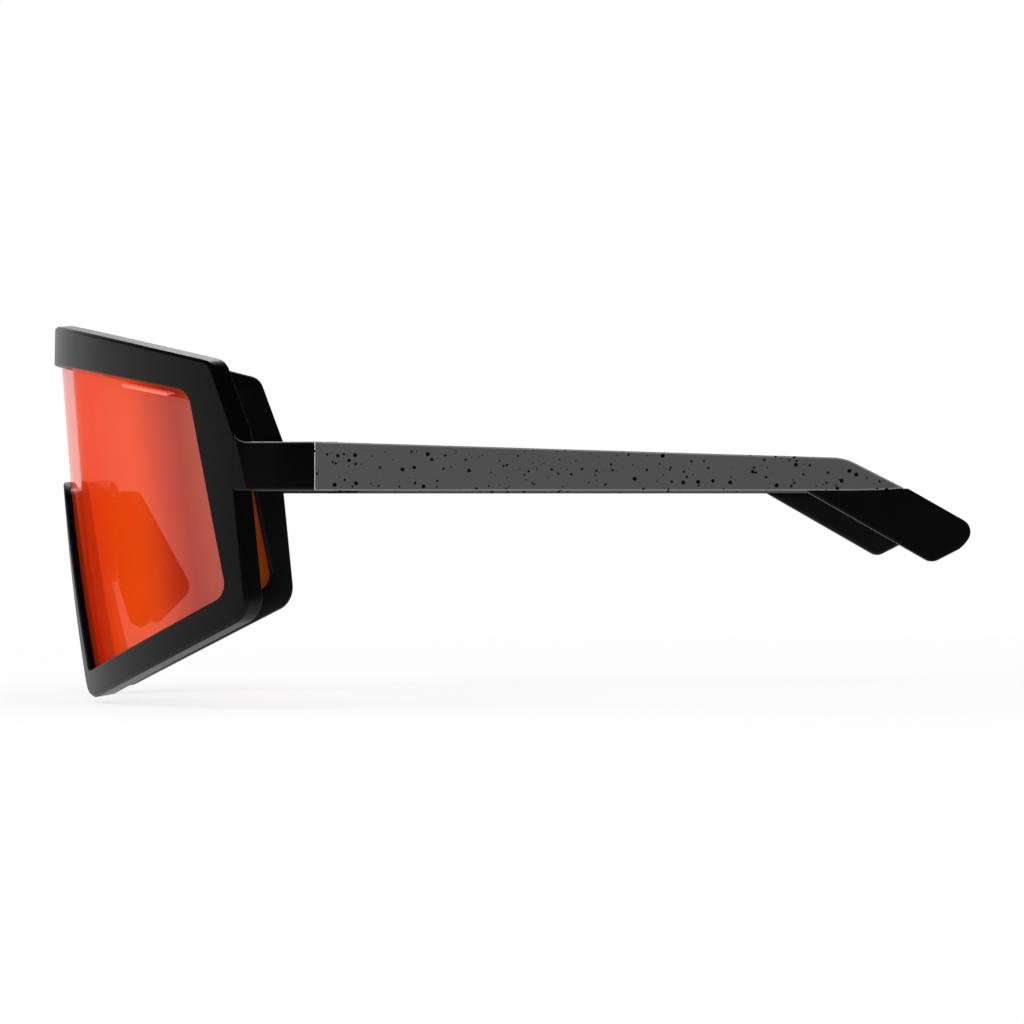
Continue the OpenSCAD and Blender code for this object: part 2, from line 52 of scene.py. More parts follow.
# Sizes of the sunglasses in millimetres, with angles turned to radians. They follow the part's
# source, apart from edge detail that the photo shows and the source leaves out.
WRAP_R, LEAN, BROW_AHEAD, BROW_Z = 77.0, radians(4.3), 7.7, 27.9
BROW_H, BROW_BACK, TOP_RISE, FRONT_DROP, RIM_DEPTH = 7.6, 0.7, 0.12, 65.2, 4.2
TOP_SLOPE, BOTTOM_SLOPE = -tan(radians(18.1)), tan(radians(23.2))
SHOULDER_TURN, HEEL_TURN, SHOULDER_R, HEEL_R, TOE_R = radians(55.4), radians(58.5), 3.5, 5.0, 5.0
SIDE_BENDS = ((radians(58.8), -17.2, 4.0), (radians(58.05), -26.5, 4.0))
WINDOW_TOP_SLOPE, WINDOW_LOW_SLOPE = -tan(radians(16.2)), tan(radians(23.9))
WINDOW_DROP, WINDOW_TOP_TURN, WINDOW_LOW_TURN = 59.9, radians(50.9), radians(55)
WINDOW_TOP_R, WINDOW_LOW_R, WINDOW_TOE_R = 3.4, 3.5, 1.4
ARCH_DROP, ARCH_HALF, ARCH_FLARE, ARCH_R, NOSE_RIM_W = 22.3, 9.4, radians(22.6), 8.0, 4.0
LENS_T, LENS_SET, LENS_SEAT, LENS_FIT = 2.0, 1.4, 1.2, 0.1
VENT_NEAR, VENT_FAR, VENT_H, VENT_DROP, VENT_TAPER = radians(36.2), radians(45.8), 0.5, 1.6, 1.6
CARRIER_DEPTH, CARRIER_OUT, CARRIER_IN, CARRIER_DROP, CARRIER_THINNED = 9.0, -0.3, -3.1, 42.0, 0.7
PAD_TOP, PAD_H, PAD_TOP_DEEP, PAD_DEEP, PAD_REAR_DROP = 3.4, 25.8, 3.4, 14.6, 20.5
PAD_LEAD, PAD_T, PAD_SPLAY, PAD_GAP = 6.4, 2.6, radians(10), 0.3
SEAM_Y, SEAM_GAP, LUG_H, LUG_Z, LUG_RUN, LUG_T = 44.5, 0.2, 8.8, 3.8, 6.0, 5.0
KNUCKLE_R, KNUCKLE_BACK, KNUCKLE_H = 2.2, 2.2, 2.6
SCREW_R, SCREW_HEAD_R, SCREW_HEAD_H, NUT_W, NUT_H = 0.7, 1.3, 0.8, 2.8, 1.4
BLOCK_T, BLOCK_LEN, BLOCK_H, FIT, SWING_GAP = 2.4, 15.0, 6.8, 0.05, 0.5
TEMPLE_X, ARM_T, ARM_TOP_LEN, ARM_FALL, ARM_LEN = 69.0, 3.8, 94.8, 2.9, 105.6
ARM_POINT_H, ARM_RISE_LEN, TIP_SEAT, TIP_REACH, TIP_T, SNUG = 0.4, 9.8, 17.8, 12.9, 4.2, 0.02
TIP_DROP, TIP_LOW, TIP_BELLY, TIP_HEEL, TIP_END_R, TIP_HEEL_R = 6.6, 13.5, 2.7, 8.1, 2.4, 2.2
SEAM_BEVEL, SHARP = 0.18, radians(30)

# Edge detail: the lip behind the lens's top, where it starts and how much it hangs by turn, and
# the lug's crease at its foot and top, its fillet, and the rows of faces with a painted highlight
LIP_FROM, LIP_FULL, LIP_HANG, LIP_GROWTH = radians(25), radians(27), 0.1, 1.65
LUG_CREASE_LOW, LUG_CREASE_HIGH, LUG_FILLET = radians(59.8), radians(58.5), 2.6
LUG_CREASE_IN, LUG_OUT_BEND, LUG_IN_BEND = radians(57.4), 30.0, 8.0
LUG_ROOT, LUG_START, EDGE_HIGHLIGHT_ROW, LOW_HIGHLIGHT_ROW = radians(56.6), 6, 20, 2
ARM_IN = TEMPLE_X - ARM_T
HINGE_X, HINGE_Y = ARM_IN - SWING_GAP - KNUCKLE_R, SEAM_Y + KNUCKLE_BACK
LUG_TOP, LUG_END = LUG_Z + LUG_H, SEAM_Y - SEAM_GAP / 2
LUG_OUT, LUG_IN = TEMPLE_X - FIT, TEMPLE_X - LUG_T
ARM_START = SEAM_Y + SEAM_GAP / 2
ARM_END = ARM_START + ARM_LEN


# Shapes in general
def ease(low, high, value):
    """Smooth step from 0 at low to 1 at high."""
    t = np.clip((value - low) / (high - low), 0, 1)
    return t * t * (3 - 2 * t)


def between(a, b, n, last=False):
    """n points on the straight line from a to b, without b unless last is set."""
    t = np.linspace(0, 1, n, endpoint=last)[:, None]
    return (1 - t) * np.asarray(a, float) + t * np.asarray(b, float)


def unit(way):
    """Vectors along the last axis, each made one long."""
    return way / np.maximum(np.linalg.norm(way, axis=-1, keepdims=True), 1e-9)


def rounded(a, b, c, r, n=6):
    """Arc of radius r that rounds the corner at b, between a and c, as n + 1 points."""
    a, b, c = (np.asarray(q, float) for q in (a, b, c))
    to_a, to_c = unit(a - b), unit(c - b)
    half = np.arccos(np.clip(to_a @ to_c, -1, 1)) / 2
    mid = b + unit(to_a + to_c) * r / sin(half)
    start, stop = b + to_a * r / tan(half) - mid, b + to_c * r / tan(half) - mid
    a0 = atan2(start[1], start[0])
    sweep = atan2(start[0] * stop[1] - start[1] * stop[0], start @ stop)
    turn = a0 + sweep * np.linspace(0, 1, n + 1)
    return mid + r * np.stack([np.cos(turn), np.sin(turn)], -1)


def rounded_loop(points, radii, n=6):
    """Closed outline whose every corner is rounded by its own radius."""
    count = len(points)
    arcs = [rounded(points[i - 1], points[i], points[(i + 1) % count], radii[i], n)
            for i in range(count)]
    return np.concatenate(arcs)


def outward(path):
    """Normals to the left of a path in the plane, long enough at a bend to move both edges by one."""
    step = np.diff(path, axis=0)
    mean = unit(np.concatenate([step, step[-1:]])) + unit(np.concatenate([step[:1], step]))
    scale = 2 / np.maximum((mean ** 2).sum(1, keepdims=True), 1e-9)
    mean = mean * np.minimum(scale, 2)
    return np.stack([-mean[:, 1], mean[:, 0]], -1)


def grid_faces(rows, columns, wrap_rows=False, wrap_columns=False):
    """Quads of a grid of rows x columns points, closed round where asked."""
    r = np.arange(rows if wrap_rows else rows - 1)
    c = np.arange(columns if wrap_columns else columns - 1)
    r, c = np.meshgrid(r, c, indexing="ij")
    r2, c2 = (r + 1) % rows, (c + 1) % columns
    quads = np.stack([r * columns + c, r2 * columns + c, r2 * columns + c2, r * columns + c2], -1)
    return quads.reshape(-1, 4)


def signed_volume(points, faces):
    """Sum of the signed tetrahedra between the origin and each face's fan of triangles."""
    total = 0.0
    for f in faces:
        p = points[np.asarray(f)]
        total += (p[0] * np.cross(p[1:-1], p[2:]).sum(0)).sum() / 6
    return total


def solid(points, faces):
    """A closed mesh as points in millimetres and faces that point outward."""
    points = np.asarray(points, float).reshape(-1, 3)
    faces = [list(map(int, f)) for f in faces]
    if signed_volume(points - points.mean(0), faces) < 0:
        faces = [f[::-1] for f in faces]
    return points, faces


def tube(rings):
    """Closed mesh of a stack of rings of points, with a flat face on each end."""
    rows, count = rings.shape[:2]
    faces = grid_faces(rows, count, wrap_columns=True).tolist()
    faces += [list(range(count))[::-1], list(range((rows - 1) * count, rows * count))]
    return solid(rings, faces)


def joined(*solids):
    """Several closed meshes as one list of points and faces."""
    points, faces, start = [], [], 0
    for p, f in solids:
        points.append(p)
        faces += [[i + start for i in face] for face in f]
        start += len(p)
    return np.concatenate(points), faces


def mirrored(shape):
    """The same mesh on the other side of the mid-plane, still facing outward."""
    points, faces = shape
    return points * [-1, 1, 1], [f[::-1] for f in faces]


def linked(name, data):
    """A new object in the scene."""
    made = bpy.data.objects.new(name, data)
    bpy.context.scene.collection.objects.link(made)
    return made


def piece(name, shape, body, material, replaces, face_materials=None):
    """Makes the Blender object of a mesh in millimetres, smooth but for its sharp edges."""
    points, faces = shape
    mesh = bpy.data.meshes.new(name)
    mesh.from_pydata((points * 0.001).tolist(), [], faces)
    mesh.validate()
    mesh.polygons.foreach_set("use_smooth", np.ones(len(mesh.polygons), bool))
    mesh.set_sharp_from_angle(angle=SHARP)
    for one in material if isinstance(material, list) else [material]:
        mesh.materials.append(one)
    if face_materials is not None:
        mesh.polygons.foreach_set("material_index", np.asarray(face_materials, np.int32))
    mesh.update()
    made = linked(name, mesh)
    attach(made, body)
    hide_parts(replaces)


def pair(name, shape, body, material, replaces, face_materials=None):
    """A left piece and its mirror image. The side's name fills the brackets of body and replaces."""
    for side, half in (("left", shape), ("right", mirrored(shape))):
        node = replaces.format(side)
        piece(f"{name}_{side}", half, body.format(side), material, node, face_materials)


def drawn_in(corners, inset):
    """Corners of a clockwise outline whose every side has moved inward by inset."""
    step = unit(np.roll(corners, -1, 0) - corners)
    inward = np.stack([step[:, 1], -step[:, 0]], -1)
    mean = inward + np.roll(inward, 1, 0)
    return corners + inset * mean * 2 / (mean ** 2).sum(1, keepdims=True)


def plate(corners, radii, low, high, to_row, bevel_low, bevel_high, steps=3, n=5):
    """Extruded outline with rounded corners: rings of it from height low to high, drawn in along a
    quarter round at each end by its bevel, with a narrow flat ring beside it to keep the shading
    even, and a flat face on each end. to_row turns (u, v, height) to row axes."""
    corners, radii = np.asarray(corners, float), np.asarray(radii, float)
    (u, v), ease_w = corners.T, 0.06
    if (u * np.roll(v, -1) - np.roll(u, -1) * v).sum() > 0:
        corners, radii = corners[::-1], radii[::-1]

    def end(bevel, at, way):
        """Rings of one end as (inset, height), from its flat face on."""
        if bevel == 0:
            return [(0, at)]
        curve = [(-bevel * (1 - sin(t)), at + way * bevel * (1 - cos(t)))
                 for t in np.linspace(0, pi / 2, steps + 1)]
        return [(-bevel - ease_w, at), *curve, (0, at + way * (bevel + ease_w))]

    inset, height = np.array(end(bevel_low, low, 1) + end(bevel_high, high, -1)[::-1]).T
    flat = np.stack([rounded_loop(drawn_in(corners, -d), np.maximum(radii + d, 0.01), n) for d in inset])
    tall = np.broadcast_to(height[:, None], flat.shape[:2])
    return tube(to_row(flat[..., 0], flat[..., 1], tall))


def turned(profile, at, z, n=48):
    """Closed ring or disc: a closed profile of (radius, height) turned round the upright axis at."""
    profile = np.asarray(profile, float)
    turn = np.linspace(0, 2 * pi, n, endpoint=False)[:, None]
    x = at[0] + profile[None, :, 0] * np.cos(turn)
    y = at[1] + profile[None, :, 0] * np.sin(turn)
    points = np.stack([x, y, np.broadcast_to(z + profile[None, :, 1], x.shape)], -1)
    return solid(points, grid_faces(n, len(profile), True, True))


# The wrapped front
def front_y(v, w):
    """How far back a point of the leaned front is, v behind the brow's middle and w above it."""
    return -BROW_AHEAD + v * cos(LEAN) - w * sin(LEAN)


def on_front(x, v, w):
    """Front axes to row axes: leaned about X, then moved to the brow."""
    return np.stack([x, front_y(v, w), BROW_Z + v * sin(LEAN) + w * cos(LEAN)], -1)


def wrapped(s, w, depth, ahead=0.0, slope=0.0, lean_back=0.0):
    """Unrolled front to row axes. s is the distance along the face from the mid-plane, w the height.
    Going deeper, a point keeps (x + v) where ahead is 0 and keeps x where ahead is 1, and its
    height follows the edge's slope. The face's brow part leans back in proportion to its height."""
    turn = s / WRAP_R
    r = WRAP_R - depth - lean_back * BROW_BACK * np.maximum(w, 0) / BROW_H
    across = WRAP_R * (np.sin(turn) - np.cos(turn))
    slanting = pi / 4 + np.arcsin(np.clip(across / (sqrt(2) * r), -1, 1))
    straight = np.arcsin(np.clip(WRAP_R * np.sin(turn) / r, -1, 1))
    real = slanting + ahead * (straight - slanting)
    moved = pi / 4 + np.arcsin(np.clip(r * (np.sin(real) - np.cos(real)) / (sqrt(2) * WRAP_R), -1, 1))
    w = w + slope * WRAP_R * (np.cos(turn) - np.cos(moved))
    return on_front(r * np.sin(real), WRAP_R - r * np.cos(real), w)


def edge_w(turn, w0, slope):
    """Height of a straight edge of the side view where the front has turned by that much."""
    return w0 + slope * WRAP_R * (1 - np.cos(turn))


def edge_path(w0, slope, s0, s1, n, last=False):
    """Points of such an edge on the unrolled face."""
    s = np.linspace(s0, s1, n, endpoint=last)
    return np.stack([s, edge_w(s / WRAP_R, w0, slope)], -1)


def arch_x(w, grow):
    """Half width of the nose arch at height w."""
    return ARCH_HALF + (-ARCH_DROP - w) * tan(ARCH_FLARE) + grow / cos(ARCH_FLARE)


def unrolled(xw):
    """Points (x, w) seen from the front, as points on the unrolled face."""
    xw = np.asarray(xw, float)
    return np.stack([WRAP_R * np.arcsin(xw[:, 0] / WRAP_R), xw[:, 1]], -1)


def low_corner(w0, slope, grow):
    """Where an edge along the bottom meets the side of the nose arch, by steps that close in on it."""
    w = w0
    for _ in range(6):
        w = edge_w(asin(arch_x(w, grow) / WRAP_R), w0, slope)
    return np.array([arch_x(w, grow), w])


# How many points each stretch of half an outline has, from the brow's middle to the arch's middle
COUNTS = dict(top=64, upper=10, side=46, lower=10, bottom=64, toe=10, nose=26, arch=14, middle=6)


def along(path, n):
    """n points evenly spaced along a line of points, without its last one."""
    run = np.concatenate([[0], np.cumsum(np.linalg.norm(np.diff(path, axis=0), axis=1))])
    at = np.linspace(0, run[-1], n, endpoint=False)
    return np.stack([np.interp(at, run, path[:, 0]), np.interp(at, run, path[:, 1])], -1)


def half_loop(top, upper, bends, lower, low, arch_grow, toe_r):
    """Left half of an outline on the unrolled face, from the brow's middle to the arch's middle.
    top and low are (height, slope) of its two long edges; upper, lower and the bends between
    them are (corner, radius)."""
    n = COUNTS
    (up, up_r), (down, down_r) = upper, lower
    before = edge_path(*top, up[0] - 1, up[0], 2, True)[0]
    after = edge_path(*low, down[0] - 1, down[0], 2, True)[0]
    stops = [up, *(corner for corner, _ in bends), down]
    arc_up = rounded(before, up, stops[1], up_r, n["upper"])
    arc_down = rounded(stops[-2], down, after, down_r, n["lower"])
    turns = [rounded(stops[k], corner, stops[k + 2], r, 6) for k, (corner, r) in enumerate(bends)]
    side = along(np.concatenate([arc_up[-1:], *turns, arc_down[:1]]), n["side"])
    toe, reach = low_corner(*low, arch_grow), 9
    toe_up = np.array([arch_x(toe[1] + reach, arch_grow), toe[1] + reach])
    toe_out_x = toe[0] + reach
    toe_out = np.array([toe_out_x, edge_w(asin(toe_out_x / WRAP_R), *low)])
    arc_toe = rounded(toe_out, toe, toe_up, toe_r, n["toe"])
    peak = -ARCH_DROP + arch_grow
    corner = np.array([arch_x(peak, arch_grow), peak])
    arc_arch = rounded(toe, corner, [0, peak], ARCH_R + arch_grow, n["arch"])
    toe_s = unrolled(arc_toe)
    return np.concatenate([
        edge_path(*top, 0, arc_up[0, 0], n["top"]), arc_up[:-1], side, arc_down[:-1],
        edge_path(*low, arc_down[-1, 0], toe_s[0, 0], n["bottom"]), toe_s[:-1],
        unrolled(between(arc_toe[-1], arc_arch[0], n["nose"])), unrolled(arc_arch[:-1]),
        unrolled(between(arc_arch[-1], [0, peak], n["middle"], True)),
    ])


def rim_loops():
    """The rim's outer outline and its window's, point for point beside each other."""
    shoulder = np.array([WRAP_R * SHOULDER_TURN, edge_w(SHOULDER_TURN, BROW_H, TOP_SLOPE)])
    bends = [(np.array([WRAP_R * turn, w]), r) for turn, w, r in SIDE_BENDS]
    heel = np.array([WRAP_R * HEEL_TURN, edge_w(HEEL_TURN, -FRONT_DROP, BOTTOM_SLOPE)])
    outer = half_loop((BROW_H, TOP_SLOPE), (shoulder, SHOULDER_R), bends, (heel, HEEL_R),
                      (-FRONT_DROP, BOTTOM_SLOPE), -NOSE_RIM_W, TOE_R)
    up = np.array([WRAP_R * WINDOW_TOP_TURN, edge_w(WINDOW_TOP_TURN, 0, WINDOW_TOP_SLOPE)])
    down = np.array([
        WRAP_R * WINDOW_LOW_TURN, edge_w(WINDOW_LOW_TURN, -WINDOW_DROP, WINDOW_LOW_SLOPE)])
    window = half_loop((0, WINDOW_TOP_SLOPE), (up, WINDOW_TOP_R), [], (down, WINDOW_LOW_R),
                       (-WINDOW_DROP, WINDOW_LOW_SLOPE), 0, WINDOW_TOE_R)
    return outer, window


def loop_rules():
    """For each point of a half loop: how far it is cut straight ahead, and its edges' slopes."""
    n = COUNTS
    top, low, toe = (np.linspace(0, 1, n[part], endpoint=False) for part in ("top", "bottom", "toe"))
    rest = n["nose"] + n["arch"] + n["middle"]
    corner = np.zeros(n["upper"] + n["side"] + n["lower"])
    ahead = np.concatenate([1 - ease(0, 1, top), corner, ease(0, 1, low), np.ones(n["toe"] + rest)])
    outer, window = (
        np.concatenate([np.full(n["top"], high), corner, np.full(n["bottom"], deep), deep * (1 - toe),
                        np.zeros(rest)])
        for high, deep in ((TOP_SLOPE, BOTTOM_SLOPE), (WINDOW_TOP_SLOPE, WINDOW_LOW_SLOPE)))
    return ahead, outer, window


def rim_shape():
    """The full rim: a closed section carried round the front. Each section point lies between the
    window's outline (0) and the outer one (1), drawn out or in along the face, at its own depth."""
    outer, window = rim_loops()
    ahead, outer_slope, window_slope = loop_rules()
    outer_n, window_n = outward(outer), outward(window)
    for n_ in (outer_n, window_n):
        n_[0], n_[-1] = [0, 1], [0, -1]
    edge, rear, lip, back = 0.62, 0.4, 0.3, RIM_DEPTH
    groove = (LENS_SET - LENS_FIT, LENS_SET + LENS_T + LENS_FIT)
    rest = len(outer) - COUNTS["top"] - COUNTS["upper"]
    on_top = np.concatenate([np.ones(COUNTS["top"]), np.linspace(1, 0, COUNTS["upper"]), np.zeros(rest)])
    bevels = []
    tail = np.array([0, back - rear])
    for low, high in (([-edge, 0], [0, edge]), ([-edge, 0], [-TOP_RISE, edge - TOP_RISE])):
        flat = unit(tail - high)
        bevels.append(np.concatenate([
            rounded([-3, 0], low, high, 0.15, 2), rounded(low, high, tail, 0.15, 2),
            [high + flat * 0.3, tail - flat * 0.25],
            rounded(high, tail, [-rear, back], 0.15, 2), rounded(tail, [-rear, back], [-3, back], 0.15, 2)]))
    out, out_top = bevels
    seat = LENS_SEAT + LENS_FIT
    behind = np.concatenate([
        rounded([3, back], [rear, back], tail, 0.12, 2),
        rounded([rear, back], tail, [0, groove[1]], 0.12, 2), [[0, groove[1]]]])
    into = np.concatenate([
        behind, [[seat, groove[1]], [seat, groove[0]], [0, groove[0]]],
        rounded([0, groove[0]], [0, lip], [lip, 0], 0.1, 2), rounded([0, lip], [lip, 0], [3, 0], 0.1, 2)])
    turn = window[:, 0] / WRAP_R
    hang = on_top * ease(LIP_FROM, LIP_FULL, turn) * (LIP_HANG + LIP_GROWTH * turn)
    mixed = out[:, None] + (out_top - out)[:, None] * on_top[None, :, None]
    rows = [(1.0, q[:, 0], q[:, 1]) for q in mixed]
    rows += [(0.0, (q[0] - hang * (k < len(behind)))[:, None], q[1]) for k, q in enumerate(into)]
    rows += [(share, None, 0.0) for share in (0.0, 0.2, 0.4, 0.6, 0.8, 1.0)]
    grids = []
    for share, off, depth in rows:
        lean_back = 1 - depth / back
        if off is None:
            a, b = window + window_n * (lip + 0.1), outer - outer_n * (edge + 0.2)
            sw, slope = a + share * (b - a), window_slope + share * (outer_slope - window_slope)
        elif share == 1:
            sw, slope = outer + outer_n * off[:, None], outer_slope
        else:
            sw, slope = window + window_n * off, window_slope
        s = sw[:, 0].copy()
        s[0] = s[-1] = 0
        grids.append(wrapped(s, sw[:, 1], depth, ahead, slope, lean_back))
    half = np.stack(grids, 1)
    other = half[1:-1][::-1] * [-1, 1, 1]
    full = np.concatenate([half, other])
    return solid(full, grid_faces(full.shape[0], full.shape[1], True, True))


# The lens
def lens_low(x):
    """Height of the lens's lower edge at each x: its bottom line, or the nose arch above that."""
    grow = -LENS_SEAT
    peak = -ARCH_DROP + grow
    turn = np.arcsin(np.clip(x / WRAP_R, -1, 1))
    bottom = edge_w(turn, -WINDOW_DROP - LENS_SEAT, WINDOW_LOW_SLOPE)
    corner = np.array([arch_x(peak, grow), peak])
    foot = np.array([arch_x(-60, grow), -60.0])
    arc = rounded(foot, corner, [0, peak], ARCH_R + grow, 24)[::-1]
    side = -ARCH_DROP - (x - grow / cos(ARCH_FLARE) - ARCH_HALF) / tan(ARCH_FLARE)
    arch = np.where(x >= arc[-1, 0], side, np.interp(x, arc[:, 0], arc[:, 1]))
    arch = np.where(x <= arc[0, 0], peak, arch)
    return np.maximum(bottom, arch)


def lens_shape():
    """A closed shell on a grid of columns by turn and rows from the top edge down, at two depths.
    Two rows open round each vent slot, as half its height over a round end, and the faces
    between them are left out there. Walls close the outline and the slots. Also returned is each
    face's kind: 0 outer skin, 1 inner skin, 2 slot wall, 3 outline wall."""
    grow = LENS_SEAT
    up = np.array([WRAP_R * WINDOW_TOP_TURN + grow, edge_w(WINDOW_TOP_TURN, grow, WINDOW_TOP_SLOPE)])
    down = np.array([WRAP_R * WINDOW_LOW_TURN + grow,
                     edge_w(WINDOW_LOW_TURN, -WINDOW_DROP - grow, WINDOW_LOW_SLOPE)])
    up_arc = rounded([up[0] - 5, up[1] + 5 * 0.22], up, down, WINDOW_TOP_R + grow, 10)
    down_arc = rounded(up, down, [down[0] - 5, down[1] - 5 * 0.36], WINDOW_LOW_R + grow, 10)
    near, end = WRAP_R * VENT_NEAR, WRAP_R * VENT_FAR
    cap = VENT_H / 2 * np.sin(np.linspace(0, pi / 2, 7))
    over_nose = WRAP_R * np.arcsin(np.linspace(1.0, 30.0, 90) / WRAP_R)
    beside = VENT_H / 2 + 0.3
    s = np.unique(np.round(np.concatenate([
        [0.0], over_nose, np.linspace(30.5, near - 1.2, 16), [near - beside], near - cap[::-1],
        near + np.linspace(0.8, end - near - 0.8, 12), end + cap, [end + beside],
        np.linspace(end + 1.6, up_arc[0, 0] - 0.6, 6), up_arc[:, 0],
        np.linspace(up_arc[-1, 0] + 0.3, down_arc[0, 0], 6), down_arc[:4, 0]]), 5))
    reach = max(up_arc[:, 0].max(), down_arc[:, 0].max())
    s = s[(s <= down_arc[:, 0].max()) & (s < reach - 0.02)]
    turn = s / WRAP_R
    x = WRAP_R * np.sin(turn)
    top = edge_w(turn, grow, WINDOW_TOP_SLOPE)
    beyond = s > up_arc[0, 0]
    side_s, side_w = np.concatenate([up_arc, between(up_arc[-1], down_arc[0], 20)[1:], down_arc]).T
    cut = np.argmax(side_s)
    top = np.where(beyond, np.interp(s, side_s[:cut + 1], side_w[:cut + 1]), top)
    low = lens_low(x)
    back_s, back_w = side_s[cut:][::-1], side_w[cut:][::-1]
    low = np.where(s > back_s[0], np.interp(s, back_s, back_w), low)
    middle = edge_w(turn, -VENT_DROP, WINDOW_TOP_SLOPE)
    past = np.maximum(np.maximum(near - s, s - end), 0)
    least, apart = 0.02, 0.35
    half = np.maximum(np.sqrt(np.maximum((VENT_H / 2) ** 2 - past ** 2, 0)), least)
    half = np.where(past < VENT_H / 2 - 1e-4, half, np.where(past < VENT_H / 2 + 0.1, least, apart))
    rows = [top, top + (middle + half - top) * 0.5, middle + half, middle - half]
    rows += [(middle - half) * (1 - t) + low * t for t in np.linspace(0, 1, 46)[1:]]
    rows = np.stack(rows)
    rows = np.maximum(np.minimum(rows, top), low)
    order = np.linspace(1, 0, len(rows))[:, None]
    narrow = top - low < 6
    rows = np.where(narrow, low + (top - low) * order, rows)
    count, columns = rows.shape
    share = np.clip((top - rows) / np.maximum(top - low, 1e-6), 0, 1)
    slope = WINDOW_TOP_SLOPE * (1 - share) + WINDOW_LOW_SLOPE * share * (x > 26)
    ahead = 1 - ease(radians(24), radians(36), turn)
    keep = np.ones((count - 1, columns - 1), bool)
    mid_s = (s[1:] + s[:-1]) / 2
    keep[2, :] = ~((mid_s > near - VENT_H / 2) & (mid_s < end + VENT_H / 2))
    sheets = []
    lift = np.zeros_like(rows)
    lift[3] = np.where(narrow, 0, VENT_TAPER * half)
    for depth, raised in ((LENS_SET, 0), (LENS_SET + LENS_T, 1)):
        right = wrapped(np.broadcast_to(s, rows.shape), rows + lift * raised, depth, ahead, slope)
        left = right[:, 1:][:, ::-1] * [-1, 1, 1]
        sheets.append(np.concatenate([left, right], 1))
    full_keep = np.concatenate([keep[:, ::-1], keep], 1)
    wide = sheets[0].shape[1]
    faces = grid_faces(count, wide)[full_keep.ravel()]
    points = np.concatenate(sheets).reshape(-1, 3)
    shift = count * wide
    edges = np.stack([faces, np.roll(faces, -1, 1)], -1).reshape(-1, 2)
    rim = edges[~np.isin(edges @ [shift, 1], edges @ [1, shift])]
    walls = np.stack([rim[:, 1], rim[:, 0], rim[:, 0] + shift, rim[:, 1] + shift], -1)
    all_faces = np.concatenate([faces, faces[:, ::-1] + shift, walls])
    row, column = rim // wide, rim % wide
    of_slot = ((row >= 2) & (row <= 3) & (column > 0) & (column < wide - 1)).all(1)
    kinds = np.concatenate([np.repeat([0, 1], len(faces)), np.where(of_slot, 2, 3)])
    if signed_volume(points - points.mean(0), all_faces) < 0:
        all_faces = all_faces[:, ::-1]
    return (points, all_faces.tolist()), kinds


# The nose piece
def arch_band(low, grow_out, grow_in):
    """Left half of the carrier's two outlines seen from the front, from the middle to the foot."""
    found = []
    for grow in (grow_out, grow_in):
        peak = -ARCH_DROP + grow
        corner = [arch_x(peak, grow), peak]
        foot = np.array([arch_x(low, grow), low])
        arc = rounded([0, peak], corner, foot, ARCH_R + grow, 16)
        down = between(arc[-1], foot, 20, True)[1:]
        found.append(np.concatenate([between([0, peak], arc[0], 6), arc, down]))
    return found


def carrier_shape():
    """The stiff arch behind the nose rim: a rounded section carried from foot to foot. It gets
    thinner over its last stretch, and each end closes over a smaller ring."""
    front, back = RIM_DEPTH + FIT, CARRIER_DEPTH
    outer, inner = arch_band(-CARRIER_DROP, CARRIER_OUT, CARRIER_IN)
    width, depth = CARRIER_OUT - CARRIER_IN, back - front
    box = rounded_loop([[0, 0], [width, 0], [width, depth], [0, depth]], [0.55] * 4, 4)
    across = box[:, 0] / width
    xw = outer[:, None] + (inner - outer)[:, None] * across[None, :, None]
    x, w = xw[..., 0], xw[..., 1]
    deep = front + box[None, :, 1] * (1 - CARRIER_THINNED * ease(CARRIER_DROP - 7, CARRIER_DROP, -w))
    v = WRAP_R - np.sqrt((WRAP_R - deep) ** 2 - x ** 2)
    half = on_front(x, v, w)
    whole = np.concatenate([half[1:][::-1] * [-1, 1, 1], half])
    mids = whole.mean(1, keepdims=True)
    first, last = (
        mids[end] + (whole[end] - mids[end]) * 0.86 + (whole[end] - whole[end + step]) * 0.16
        for end, step in ((0, 1), (-1, -1)))
    return tube(np.concatenate([first[None], whole, last[None]]))


def pad_shape():
    """A soft pad: its outline drawn in to its middle over rings, with a superellipse's thickness."""
    w = (PAD_TOP - BROW_Z) / cos(LEAN)
    back_v = WRAP_R - sqrt((WRAP_R - CARRIER_DEPTH) ** 2 - arch_x(w, CARRIER_OUT) ** 2)
    at = np.array([arch_x(w, CARRIER_IN), front_y(back_v, w) + PAD_T * sin(PAD_SPLAY) + PAD_GAP, PAD_TOP])
    long = PAD_H / cos(ARCH_FLARE)
    corners = [[0, 0], [PAD_TOP_DEEP, 0], [PAD_DEEP, -PAD_REAR_DROP], [PAD_LEAD + 1.6, -long],
               [PAD_LEAD - 0.8, -long + 1], [PAD_LEAD * 0.4, -long * 0.7]]
    line = rounded_loop(corners, [1.2, 1.4, 3.2, 1.0, 0.6, 8.0], 10)
    line = along(np.concatenate([line, line[:1]]), 120)
    middle = np.array([PAD_LEAD * 0.85 + 1.2, -long * 0.55])
    turn = np.linspace(0, pi, 26)
    ring = np.sin(turn) ** 0.45
    thick = PAD_T / 2 - np.sign(np.cos(turn)) * np.abs(np.cos(turn)) ** 0.8 * PAD_T / 2
    ring[0] = ring[-1] = 0.02
    ys = middle[None, None] + (line[None] - middle) * ring[:, None, None]
    t = np.broadcast_to(thick[:, None], ys.shape[:2])
    f, p = ARCH_FLARE, PAD_SPLAY
    x1 = t * cos(f) - ys[..., 1] * sin(f)
    z1 = t * sin(f) + ys[..., 1] * cos(f)
    y0 = ys[..., 0]
    return tube(at + np.stack([x1 * cos(p) + y0 * sin(p), y0 * cos(p) - x1 * sin(p), z1], -1))


# Hinges and temples
def row_yz(u, v, height):
    """Turns (y, z, x) to row axes, for a plate that lies across X."""
    return np.stack([height, u, v], -1)


